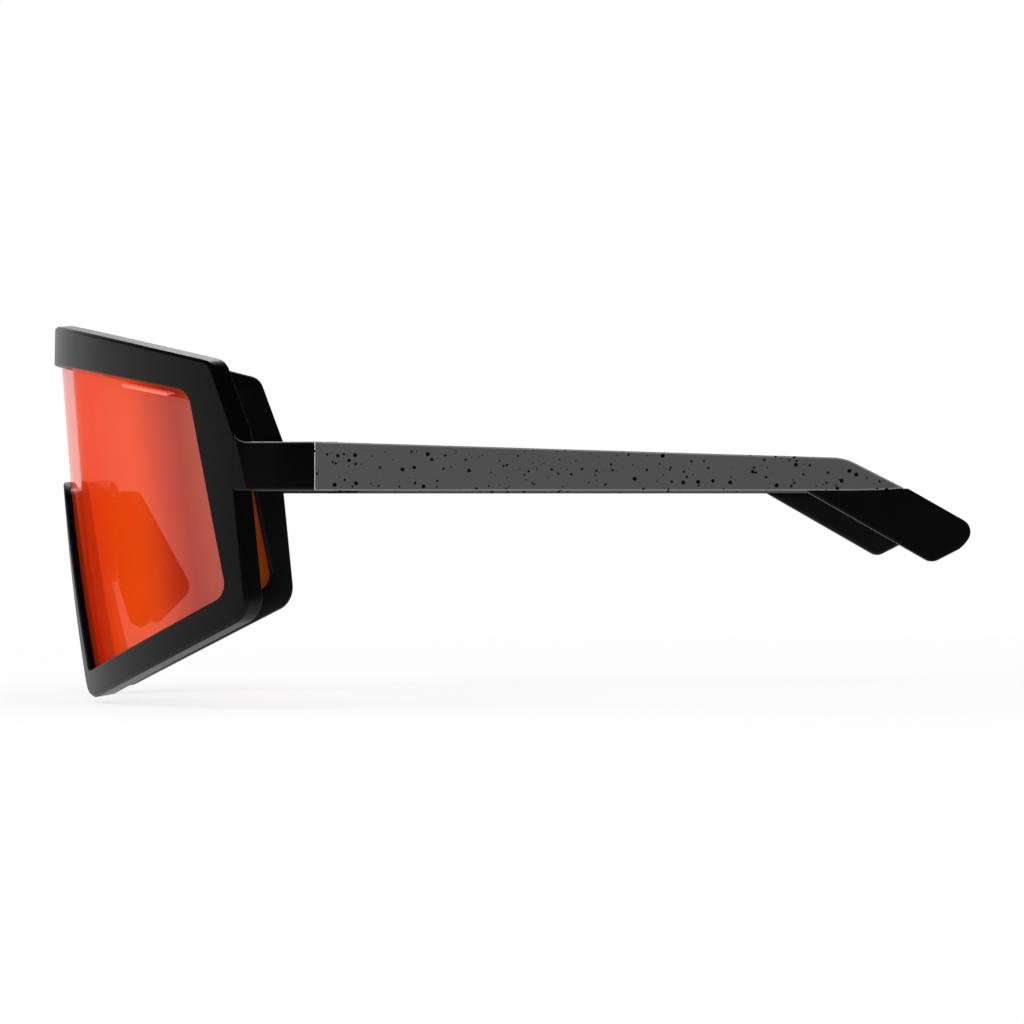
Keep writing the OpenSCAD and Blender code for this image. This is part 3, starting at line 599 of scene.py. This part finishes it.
def row_xy(u, v, height):
    """Turns (x, y, z) to row axes, for a plate that lies across Z."""
    return np.stack([u, v, height], -1)


def on_rim(turn, depth, z):
    """Plan position of a point of the wrapped front at that turn, depth and height."""
    r = WRAP_R - depth
    v = WRAP_R - r * cos(turn)
    w = (z - BROW_Z - v * sin(LEAN)) / cos(LEAN)
    return np.array([r * sin(turn), front_y(v, w)])


def lug_line(z, crease, depth, seam_x, bend_r, n=11):
    """Plan line of one side of the lug at height z, from inside the rim to the seam: it follows the
    wrapped face to the crease, at point LUG_START - 1, then runs almost straight back."""
    start = np.array([on_rim(t, depth, z) for t in np.linspace(LUG_ROOT, crease, LUG_START)])
    soft = rounded(start[-2], start[-1], [seam_x, LUG_END - LUG_RUN / 2], 0.5, 4)
    bend = rounded(soft[-1], [seam_x, LUG_END - LUG_RUN / 2], [seam_x, LUG_END], bend_r, 4)
    run = between(soft[-1], bend[0], n)[1:]
    return np.concatenate([start[:-1], soft, run, bend, [[seam_x, LUG_END]]])


def lug_shape():
    """The lug: a rounded section carried from inside the rim back to the seam. Its outer side leaves
    the rim's face at a crease that lies further back at the lug's foot, its inner side leaves the
    rim's rear, and its top rises into the rim in a small fillet. A last smaller ring bevels it at
    the seam. Also returned is each face's paint, as its place in lug_paints."""
    low, high = LUG_Z, LUG_TOP
    outer_low = lug_line(low, LUG_CREASE_LOW, -0.01, LUG_OUT, LUG_OUT_BEND)
    outer_high = lug_line(high, LUG_CREASE_HIGH, -0.01, LUG_OUT, LUG_OUT_BEND)
    inner = lug_line((low + high) / 2, LUG_CREASE_IN, RIM_DEPTH - 0.4, LUG_IN, LUG_IN_BEND)
    turn = np.linspace(0, pi / 2, 6)
    far, near = 1 - np.sin(turn), 1 - np.cos(turn)
    r = 0.6
    rows = []
    for k in range(len(inner)):
        past = np.clip((outer_high[k, 1] - outer_high[LUG_START - 1, 1]) / LUG_FILLET, 0, 1)
        h = LUG_H + LUG_FILLET * 0.5 * (1 - sqrt(1 - (1 - past) ** 2))
        t = np.linalg.norm(inner[k] - outer_low[k])
        corner = np.concatenate([
            np.stack([near * r, far * r], -1), np.stack([t - far * r, near * r], -1),
            np.stack([t - near * r, h - far * r], -1), np.stack([far * r, h - near * r], -1)])
        share = corner[:, 1:] / h
        outer = outer_low[k] + (outer_high[k] - outer_low[k]) * share
        plan = outer + (inner[k] - outer) * (corner[:, :1] / t)
        rows.append(np.concatenate([plan, low + corner[:, 1:]], 1))
    whole = np.stack(rows)
    mid = whole[-1].mean(0)
    small = mid + (whole[-1] - mid) * [0.93, 1, 0.96]
    whole[-1, :, 1] -= SEAM_BEVEL
    shape = tube(np.concatenate([whole, small[None]]))
    row = np.arange(len(shape[1])) % whole.shape[1]
    # Two rows of faces are painted a lighter black as painted highlights: one along the lug's top outer
    # edge, one along its bottom outer edge.
    paint = np.where(row == LOW_HIGHLIGHT_ROW, 2, np.where(row == EDGE_HIGHLIGHT_ROW, 1, 0))
    paint[-2:] = 0
    return shape, paint


def knuckle_profile(height, low_r, low_deep, high_r, high_deep):
    """Closed profile of a knuckle with a bore and a wider seat at its lower or upper end."""
    b, bore, r_out = 0.22, SCREW_R + FIT, KNUCKLE_R
    return [[r_out - b, 0], [r_out, b], [r_out, height - b], [r_out - b, height],
            [high_r, height], [high_r, height - high_deep], [bore, height - high_deep],
            [bore, low_deep], [low_r, low_deep], [low_r, 0]]


def knuckles_shape():
    """The two outer knuckles and the arms that carry them from the lug."""
    at = (HINGE_X, HINGE_Y)
    half = KNUCKLE_R * 0.75
    reach = HINGE_Y - sqrt(KNUCKLE_R ** 2 - half ** 2)
    arm = [[HINGE_X - half, reach], [HINGE_X + half, reach], [LUG_IN + 1, LUG_END],
           [LUG_IN + 1, LUG_END - LUG_RUN + 1], [HINGE_X - half, LUG_END - 2]]
    made = []
    bore = SCREW_R + FIT
    for z, seats in ((LUG_Z, (SCREW_HEAD_R + FIT, SCREW_HEAD_H + FIT, bore, 0.0001)),
                     (LUG_TOP - KNUCKLE_H, (bore, 0.0001, NUT_W / 2 + FIT, NUT_H + FIT))):
        made.append(turned(knuckle_profile(KNUCKLE_H, *seats), at, z))
        made.append(plate(arm, [0.3] * 5, z, z + KNUCKLE_H, row_xy, 0.2, 0.2, 2))
    return joined(*made)


def arm_outline(notch):
    """Side view of a temple, with the hinge block's pocket cut from its front end if notch is set."""
    rear = [ARM_END, LUG_Z + ARM_POINT_H]
    under = [[ARM_END - ARM_RISE_LEN, LUG_Z], [ARM_END - ARM_RISE_LEN * 0.45, LUG_Z + ARM_POINT_H * 0.3]]
    top = [ARM_START + ARM_TOP_LEN, LUG_TOP - ARM_FALL]
    front = [[ARM_START, LUG_TOP]]
    points = front + [top, rear] + under[::-1]
    radii = [0.35, 9.0, 0.12, 3.0, 8.0]
    if notch:
        low, high = LUG_Z + LUG_H / 2 - BLOCK_H / 2 - FIT, LUG_Z + LUG_H / 2 + BLOCK_H / 2 + FIT
        end = ARM_START + BLOCK_LEN + FIT
        tail = [[ARM_START, LUG_Z], [ARM_START, low], [end, low], [end, high], [ARM_START, high]]
        return points + tail, radii + [0.45, 0.1, 0.2, 0.2, 0.1]
    return points + [[ARM_START, LUG_Z]], radii + [0.45]


def arm_shape():
    """A temple as two plates face to face: the outer one whole, the inner one with the pocket. Also
    returned is 1 for each face of the outer plate's bevel, three rings of it, and 0 elsewhere.
    The faces marked 1 get a lighter grey as a painted highlight along the outer edge."""
    split, bevel = ARM_IN + BLOCK_T + FIT, 0.28
    outer = plate(*arm_outline(False), split, TEMPLE_X, row_yz, 0, bevel)
    inner = plate(*arm_outline(True), ARM_IN, split, row_yz, bevel, 0)
    ring = np.arange(len(outer[1]) + len(inner[1])) // len(outer[1][-1])
    return joined(outer, inner), ((ring >= 2) & (ring <= 4)).astype(int)


def tip_shape():
    """A rubber tip: its side outline as a plate with full round edges. It starts before its seat,
    lies against the temple's underside, and has a slight belly between its end and its heel."""
    rear = [ARM_END, LUG_Z + ARM_POINT_H]
    tip_end = [ARM_END + TIP_REACH, LUG_Z - TIP_DROP]
    belly = [tip_end[0] - TIP_BELLY, LUG_Z - TIP_LOW + 3.3]
    heel = [tip_end[0] - TIP_HEEL, LUG_Z - TIP_LOW + 0.55]
    start = [ARM_END - TIP_SEAT, LUG_Z + SNUG]
    under = [[ARM_END - ARM_RISE_LEN, LUG_Z + SNUG],
             [ARM_END - ARM_RISE_LEN * 0.45, LUG_Z + ARM_POINT_H * 0.3 + SNUG],
             [rear[0] + 0.5, rear[1] + 0.03]]
    radii = [0.06, 8.0, 3.0, 0.6, TIP_END_R, 5.0, TIP_HEEL_R]
    corners = [start] + under + [tip_end, belly, heel]
    return plate(corners, radii, TEMPLE_X - TIP_T, TEMPLE_X, row_yz, 0.7, 0.55, 5, 8)


# Materials
class Wire:
    """A socket's value: the operators add Math nodes to its material."""

    def __init__(self, paint, socket):
        self.paint, self.socket = paint, socket

    def math(self, operation, *others):
        """A Math node with this value first."""
        return self.paint.node("ShaderNodeMath", {"operation": operation}, [self, *others])

    def flipped(self, operation, other):
        """A Math node with this value second, for the reflected operators."""
        return self.paint.node("ShaderNodeMath", {"operation": operation}, [other, self])

    def held(self):
        """This value, kept between 0 and 1."""
        return self.math("MAXIMUM", 0.0).math("MINIMUM", 1.0)

    def beside(self, key):
        """Another output of the same node."""
        return Wire(self.paint, self.socket.node.outputs[key])

    def __add__(self, other):
        return self.math("ADD", other)

    def __sub__(self, other):
        return self.math("SUBTRACT", other)

    def __rsub__(self, other):
        return self.flipped("SUBTRACT", other)

    def __mul__(self, other):
        return self.math("MULTIPLY", other)

    def __truediv__(self, other):
        return self.math("DIVIDE", other)

    def __rtruediv__(self, other):
        return self.flipped("DIVIDE", other)

    def __lt__(self, other):
        return self.math("LESS_THAN", other)

    def __abs__(self):
        return self.math("ABSOLUTE")

    __radd__, __rmul__ = __add__, __mul__


class Paint:
    """A material: a Principled shader and whatever feeds its sockets."""

    def __init__(self, name, **constants):
        self.material = bpy.data.materials.new(name)
        self.material.use_nodes = True
        self.nodes, self.links = self.material.node_tree.nodes, self.material.node_tree.links
        self.nodes.clear()
        self.shader = self.nodes.new("ShaderNodeBsdfPrincipled")
        self.output = self.nodes.new("ShaderNodeOutputMaterial")
        self.links.new(self.shader.outputs[0], self.output.inputs[0])
        for key, value in constants.items():
            self.shader.inputs[key.replace("_", " ")].default_value = value

    def node(self, kind, settings=None, inputs=(), out=0):
        """Adds one node: its settings or ramp stops first, then the values or links of its sockets."""
        made = self.nodes.new(kind)
        for key, value in (settings or {}).items():
            if key == "stops":
                ramp = made.color_ramp
                while len(ramp.elements) < len(value):
                    ramp.elements.new(0.5)
                for element, (at, colour) in zip(ramp.elements, value):
                    element.position, element.color = at, (*colour, 1)
            else:
                setattr(made, key, value)
        pairs = inputs.items() if isinstance(inputs, dict) else enumerate(inputs)
        for key, value in pairs:
            self.feed(made.inputs[key], value)
        return Wire(self, made.outputs[out])

    def feed(self, socket, value):
        """Links a Wire to a socket, or sets a plain value on it."""
        if isinstance(value, Wire):
            self.links.new(value.socket, socket)
        elif socket.type == "RGBA" and len(value) == 3:
            socket.default_value = (*value, 1)
        else:
            socket.default_value = value

    def place(self):
        """Object coordinates and their three parts."""
        at = self.node("ShaderNodeTexCoord", out="Object")
        parts = self.node("ShaderNodeSeparateXYZ", inputs=[at])
        return at, [parts.beside(k) for k in range(3)]

    def noise(self, at, scale, detail=3):
        """Smooth noise from 0 to 1, with scale cells to the metre."""
        return self.node("ShaderNodeTexNoise", inputs={
            "Vector": at, "Scale": scale, "Detail": detail, "Roughness": 0.5})

    def mix(self, factor, first, second):
        """Colour between first and second."""
        return self.node("ShaderNodeMix", {"data_type": "RGBA"}, {0: factor, 6: first, 7: second}, out=2)

    def ramp(self, factor, stops):
        """Colour by factor, straight between stops of (position, colour)."""
        return self.node("ShaderNodeValToRGB", {"stops": stops}, [factor])

    def bump(self, height, strength, distance):
        """Bumps in the surface's shading, with distance in metres."""
        made = self.node("ShaderNodeBump", inputs={
            "Strength": strength, "Distance": distance, "Height": height})
        self.links.new(made.socket, self.shader.inputs["Normal"])

    def set(self, **values):
        """Feeds the shader's sockets and gives back the finished material."""
        for key, value in values.items():
            self.feed(self.shader.inputs[key.replace("_", " ")], value)
        return self.material


def toned(colour, factor):
    """A colour made darker or lighter, up to 1."""
    return [min(part * factor, 1) for part in colour]


def moulded_plastic(name, colour, rough, specular):
    """Moulded plastic: a fine spark-eroded grain, with slightly uneven gloss and tone."""
    p = Paint(name, Specular_IOR_Level=specular)
    at, _ = p.place()
    grain, broad = p.noise(at, 2600, 2), p.noise(at, 90)
    p.bump(grain, 0.35, 0.00002)
    return p.set(Base_Color=p.mix(broad, toned(colour, 0.88), toned(colour, 1.12)),
                 Roughness=rough - 0.05 + broad * 0.1)


# Specks of the temples: cells to the metre, then the least radius and its random growth in cells.
# The temple's first stretch beside the seam, as many mm long as the constant below, is painted pale as a
# painted highlight of its front edge.
SPECKS = (430.0, 0.12, 0.06), (600.0, 0.10, 0.10), (760.0, 0.06, 0.10)
FRONT_HIGHLIGHT_END = 0.22


def speckled_plastic(name, dark, light):
    """Dark grey plastic with black specks: cells of three sizes, each with a round speck of its own
    random radius where the surface passes its middle."""
    p = Paint(name, Specular_IOR_Level=0.15)
    at, (_, y, _) = p.place()
    mask = None
    for scale, least, growth in SPECKS:
        cell = p.node("ShaderNodeTexVoronoi", {"feature": "F1"}, {
            "Vector": at, "Scale": scale, "Randomness": 1.0})
        chance = p.node("ShaderNodeSeparateColor", inputs=[cell.beside("Color")])
        speck = cell < (least + chance * growth)
        mask = speck if mask is None else mask.math("MAXIMUM", speck)
    broad, fine = p.noise(at, 70), p.noise(at, 3000, 2)
    grey = p.mix(broad, dark, light)
    # Painted highlight: pale grey over the temple's first stretch beside the seam.
    grey = p.mix(y < (ARM_START + FRONT_HIGHLIGHT_END) * 0.001, grey, (0.6, 0.6, 0.6))
    p.bump(fine, 0.3, 0.000015)
    return p.set(Base_Color=p.mix(mask, grey, (0.001, 0.001, 0.001)), Roughness=0.5 + broad * 0.08)


def soft_rubber(name, colour):
    """Soft rubber: nearly even black with a fine dull grain."""
    p = Paint(name, Specular_IOR_Level=0.16)
    at, _ = p.place()
    grain, broad = p.noise(at, 3500, 2), p.noise(at, 120, 2)
    p.bump(grain, 0.4, 0.00002)
    return p.set(Base_Color=p.mix(broad, toned(colour, 0.8), toned(colour, 1.3)),
                 Roughness=0.5 + broad * 0.12)


def worked_metal(name, colour, rough):
    """Turned or drawn metal: fine level lines, from noise that changes fastest upward."""
    p = Paint(name, Metallic=1.0)
    at, _ = p.place()
    lines = p.noise(p.node("ShaderNodeMapping", inputs={"Vector": at, "Scale": (1, 1, 12)}), 900)
    p.bump(lines, 0.25, 0.00001)
    return p.set(Base_Color=p.mix(lines, toned(colour, 0.82), toned(colour, 1.1)),
                 Roughness=rough - 0.06 + lines * 0.14)


def lens_turn(p):
    """Turn of the wrapped front at a point, as a share of 60 degrees, from Object coordinates."""
    _, (x, y, z) = p.place()
    v = (y + BROW_AHEAD * 0.001) * cos(LEAN) + (z - BROW_Z * 0.001) * sin(LEAN)
    return abs(x).math("ARCTAN2", WRAP_R * 0.001 - v) / radians(60)


def mirror_coat(name):
    """Tinted core of the lens, on its inner skin. From the front it is a warm mirror whose colour
    shifts from coral in the middle to crimson and brown at the sides, a little sooner higher up.
    From behind it shows the lens's own amber tint."""
    p = Paint(name, Specular_IOR_Level=0.0, Specular_Tint=(1.0, 0.3, 0.12, 1.0))
    turn = lens_turn(p)
    at, (_, _, z) = p.place()
    level, tilt = 0.013, 1.5
    front = p.ramp(turn + (z - level) * tilt, [
        (0.0, (1.0, 0.25, 0.035)), (0.60, (1.0, 0.15, 0.030)), (0.68, (0.66, 0.055, 0.016)),
        (0.76, (0.40, 0.012, 0.009)), (0.86, (0.62, 0.16, 0.08)), (0.94, (0.64, 0.20, 0.10))])
    behind = p.ramp(turn, [
        (0.0, (1.0, 0.5, 0.42)), (0.60, (0.9, 0.48, 0.43)), (0.78, (0.85, 0.44, 0.41)),
        (0.86, (0.2, 0.033, 0.004))])
    outside = p.node("ShaderNodeNewGeometry", out="Backfacing")
    return p.set(Base_Color=p.mix(outside, behind, front), Metallic=outside * 0.75,
                 Roughness=0.1 + p.noise(at, 25, 2) * 0.03, Alpha=0.97 - outside * 0.25)


def lens_outside(name):
    """Outer skin of the lens: a coral film, 40 % opaque, over the mirror. Seen edge on, the lens's
    thickness shows as a light band."""
    p = Paint(name, Specular_IOR_Level=0.0, Specular_Tint=(0.95, 0.3, 0.22, 1.0))
    at, _ = p.place()
    tint = p.ramp(lens_turn(p), [
        (0.0, (1.0, 0.06, 0.006)), (0.62, (1.0, 0.06, 0.006)), (0.80, (0.5, 0.03, 0.008))])
    return p.set(Base_Color=tint, Metallic=0.6, Roughness=0.08 + p.noise(at, 25, 2) * 0.03, Alpha=0.40)


def lens_edge(name, first, second, glow=0.0):
    """Cut edge of the lens, a little dull: pale in its vent slots, with a painted glow there as
    emission of strength glow, and dark where the rim's groove holds it."""
    # Emission here is a painted glow: the lens edge is no lamp.
    p = Paint(name, Specular_IOR_Level=0.3, Emission_Strength=glow, Emission_Color=(*first, 1.0))
    at, _ = p.place()
    return p.set(Base_Color=p.mix(p.noise(at, 400, 2), first, second), Roughness=0.3)


# The camera and the room, in metres. FOCAL is the photograph's focal length in pixels.
VIEW_X, VIEW_Y, FOCAL, PICTURE_W, SENSOR_W = 0.961, 0.080, 4995, 1024, 36
FLOOR_BELOW, FLAG_ABOVE, ROOM_STRENGTH = 0.0008, 0.0004, 0.62


def set_camera():
    """The photograph's view: level from the wearer's left, 961 mm from the mid-plane."""
    data = bpy.data.cameras.new("camera")
    data.sensor_width = SENSOR_W
    data.lens = SENSOR_W * FOCAL / PICTURE_W
    data.clip_start, data.clip_end = 0.05, 20
    camera = linked("camera", data)
    camera.location = (VIEW_X, VIEW_Y, 0.0)
    camera.rotation_euler = (pi / 2, 0, pi / 2)
    bpy.context.scene.camera = camera


def sheet(name, points, faces, paint):
    """An object of the room, from points in metres."""
    mesh = bpy.data.meshes.new(name)
    mesh.from_pydata(points, [], faces)
    mesh.materials.append(paint.material)
    return linked(name, mesh)


def set_world():
    """White world: plain white to the camera, gloss and glass, and weaker as a light."""
    world = bpy.data.worlds.new("room")
    bpy.context.scene.world = world
    world.use_nodes = True
    nodes, links = world.node_tree.nodes, world.node_tree.links
    nodes.clear()
    rays = nodes.new("ShaderNodeLightPath")
    seen = rays.outputs["Is Camera Ray"]
    for kind in ("Is Glossy Ray", "Is Transmission Ray"):
        most = nodes.new("ShaderNodeMath")
        most.operation = "MAXIMUM"
        links.new(seen, most.inputs[0])
        links.new(rays.outputs[kind], most.inputs[1])
        seen = most.outputs[0]
    mixer, output = nodes.new("ShaderNodeMixShader"), nodes.new("ShaderNodeOutputWorld")
    links.new(seen, mixer.inputs[0])
    for k, strength in ((1, ROOM_STRENGTH), (2, 1.0)):
        background = nodes.new("ShaderNodeBackground")
        background.inputs[0].default_value = (1, 1, 1, 1)
        background.inputs[1].default_value = strength
        links.new(background.outputs[0], mixer.inputs[k])
    links.new(mixer.outputs[0], output.inputs[0])


def set_floor(height):
    """White floor that keeps the shadow. Further out it fades to plain white, as gloss sees it."""
    p = Paint("floor_white", Roughness=0.9, Specular_IOR_Level=0.1, Base_Color=(0.92, 0.92, 0.92, 1))
    _, (x, y, _) = p.place()
    y = y - VIEW_Y
    far = ((x * x + y * y).math("SQRT") * 2.2 - 0.25).held()
    camera_ray = p.node("ShaderNodeLightPath", out="Is Camera Ray")
    glossy, glass = camera_ray.beside("Is Glossy Ray"), camera_ray.beside("Is Transmission Ray")
    shown = (camera_ray.math("MAXIMUM", glass) * (0.72 + far * 0.28)).math("MAXIMUM", glossy)
    glow = p.node("ShaderNodeEmission")
    both = p.node("ShaderNodeMixShader", inputs=[shown, Wire(p, p.shader.outputs[0]), glow])
    p.links.new(both.socket, p.output.inputs[0])
    corners = [(x, y, height) for x, y in ((-6, -6), (6, -6), (6, 6), (-6, 6))]
    floor = sheet("floor", corners, [(0, 1, 2, 3)], p)


def set_flags(height):
    """Black flags that only gloss sees, upright, on the floor and overhead. The first two fade in
    over 40 degrees from each end, and away from the middle."""
    paint, top_paint = (
        Paint(name, Roughness=1.0, Specular_IOR_Level=0.0, Base_Color=(0.01, 0.01, 0.01, 1))
        for name in ("flag_black", "flag_top_black"))
    first, last, fade, steps = -68, 150, radians(40), 49
    _, (x, y, _) = paint.place()
    azimuth, reach = y.math("ARCTAN2", x), (x * x + y * y).math("SQRT")
    start = ((azimuth - radians(first)) / fade).held()
    stop = ((radians(last) - azimuth) / fade).held()
    paint.set(Alpha=start * stop * ((reach - 0.06) / 0.2).held())
    for name, azimuths, profile, look in (
        ("flag_side", (first, last), [(1.25, height), (1.25, 1.0)], paint),
        ("flag_floor", (first, 90), [(0.06, height), (1.25, height)], paint),
        ("flag_top", (-145, 145), [(0.02, 0.45), (1.2, 0.45)], top_paint),
    ):
        turn = np.radians(np.linspace(*azimuths, steps))[:, None]
        r, h = np.array(profile).T
        points = np.stack([r * np.cos(turn), r * np.sin(turn), np.broadcast_to(h, (steps, 2))], -1)
        flag = sheet(name, points.reshape(-1, 3).tolist(), grid_faces(steps, 2).tolist(), look)
        flag.visible_camera = flag.visible_diffuse = flag.visible_transmission = flag.visible_shadow = False


def set_lamps():
    """Two wide lamps that gloss doesn't see, and a small one that only gloss sees."""
    for name, place, size, power, gloss_only in (
        ("lamp_top", (0.3, -0.1, 1.1), 1.2, 7.0, False),
        ("lamp_front", (0.6, -1.1, 0.45), 1.0, 6.0, False),
        ("lamp_rim", (-0.72, 0.04, 0.74), 0.42, 4.4, True),
    ):
        lamp = bpy.data.lights.new(name, "AREA")
        lamp.size, lamp.energy = size, power
        made = linked(name, lamp)
        made.location = place
        made.visible_glossy = gloss_only
        made.visible_diffuse = made.visible_transmission = not gloss_only
        x, y, z = np.array([0, 0.05, 0]) - place
        made.rotation_euler = (np.arctan2(np.hypot(x, y), -z), 0, np.arctan2(x, -y) + pi)


set_camera()

frame_black = moulded_plastic("frame_black", (0.0014, 0.0014, 0.0015), 0.38, 0.175)
# The next two blacks are painted highlights for the lug's top and bottom outer edges.
lug_highlight_black = moulded_plastic("frame_edge_highlight", (0.11, 0.11, 0.112), 0.4, 0.14)
lug_low_highlight_black = moulded_plastic("frame_low_edge_highlight", (0.03, 0.03, 0.031), 0.4, 0.14)
carrier_black = moulded_plastic("carrier_black", (0.01, 0.01, 0.0102), 0.45, 0.25)
block_black = moulded_plastic("block_black", (0.012, 0.012, 0.0122), 0.42, 0.25)
# The second, lighter grey is a painted highlight on the temple's outer bevel.
speckled = [speckled_plastic("temple_speckled", (0.072, 0.072, 0.074), (0.083, 0.083, 0.085)),
            speckled_plastic("temple_edge", (0.17, 0.17, 0.175), (0.21, 0.21, 0.215))]
tip_black = soft_rubber("tip_black", (0.0022, 0.0022, 0.0022))
pad_black = soft_rubber("pad_black", (0.008, 0.008, 0.008))
steel = worked_metal("screw_steel", (0.5, 0.5, 0.52), 0.32)
core = worked_metal("core_steel", (0.25, 0.25, 0.26), 0.45)
brass = worked_metal("nut_brass", (0.75, 0.58, 0.28), 0.3)
coat, outer_skin = mirror_coat("mirror_coat"), lens_outside("lens_outside")
# The slot edge's emission is a painted glow.
glowing_slot_edge = lens_edge("lens_slot_edge_glow", (1.0, 0.26, 0.2), (1.0, 0.32, 0.26), 0.5)
seat_edge = lens_edge("lens_seat_edge", (0.03, 0.008, 0.003), (0.04, 0.01, 0.004))
lug_paints = [frame_black, lug_highlight_black, lug_low_highlight_black]
lens_paints = [outer_skin, coat, glowing_slot_edge, seat_edge]

(lug, lug_faces), (arm, arm_faces), (lens, lens_faces) = lug_shape(), arm_shape(), lens_shape()
piece("rim", rim_shape(), "front", frame_black, "front_frame")
pair("lug", lug, "front", lug_paints, "front_frame", lug_faces)
pair("knuckles", knuckles_shape(), "front", frame_black, "front_frame")
piece("lens", lens, "front", lens_paints, "shield_lens", lens_faces)
piece("carrier", carrier_shape(), "front", carrier_black, "nose_carrier")
pair("pad", pad_shape(), "front", pad_black, "nose_pad_{}")
pair("arm", arm, "temple_{}", speckled, "temple_arm_{}", arm_faces)
pair("tip", tip_shape(), "temple_{}", tip_black, "temple_tip_{}")

finishes = {"nose_core_wire": core}
for kept, finish in (("hinge_screw", steel), ("hinge_nut", brass), ("hinge_block", block_black),
                     ("block_screws", steel), ("temple_core", core)):
    finishes[f"{kept}_left"] = finishes[f"{kept}_right"] = finish
for node, finish in finishes.items():
    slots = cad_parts[node].data.materials
    slots.clear()
    slots.append(finish)

bpy.context.scene.view_settings.view_transform = "Standard"
floor_z = cad_box[0][2] - FLOOR_BELOW
set_world()
set_floor(floor_z)
set_flags(floor_z + FLAG_ABOVE)
set_lamps()
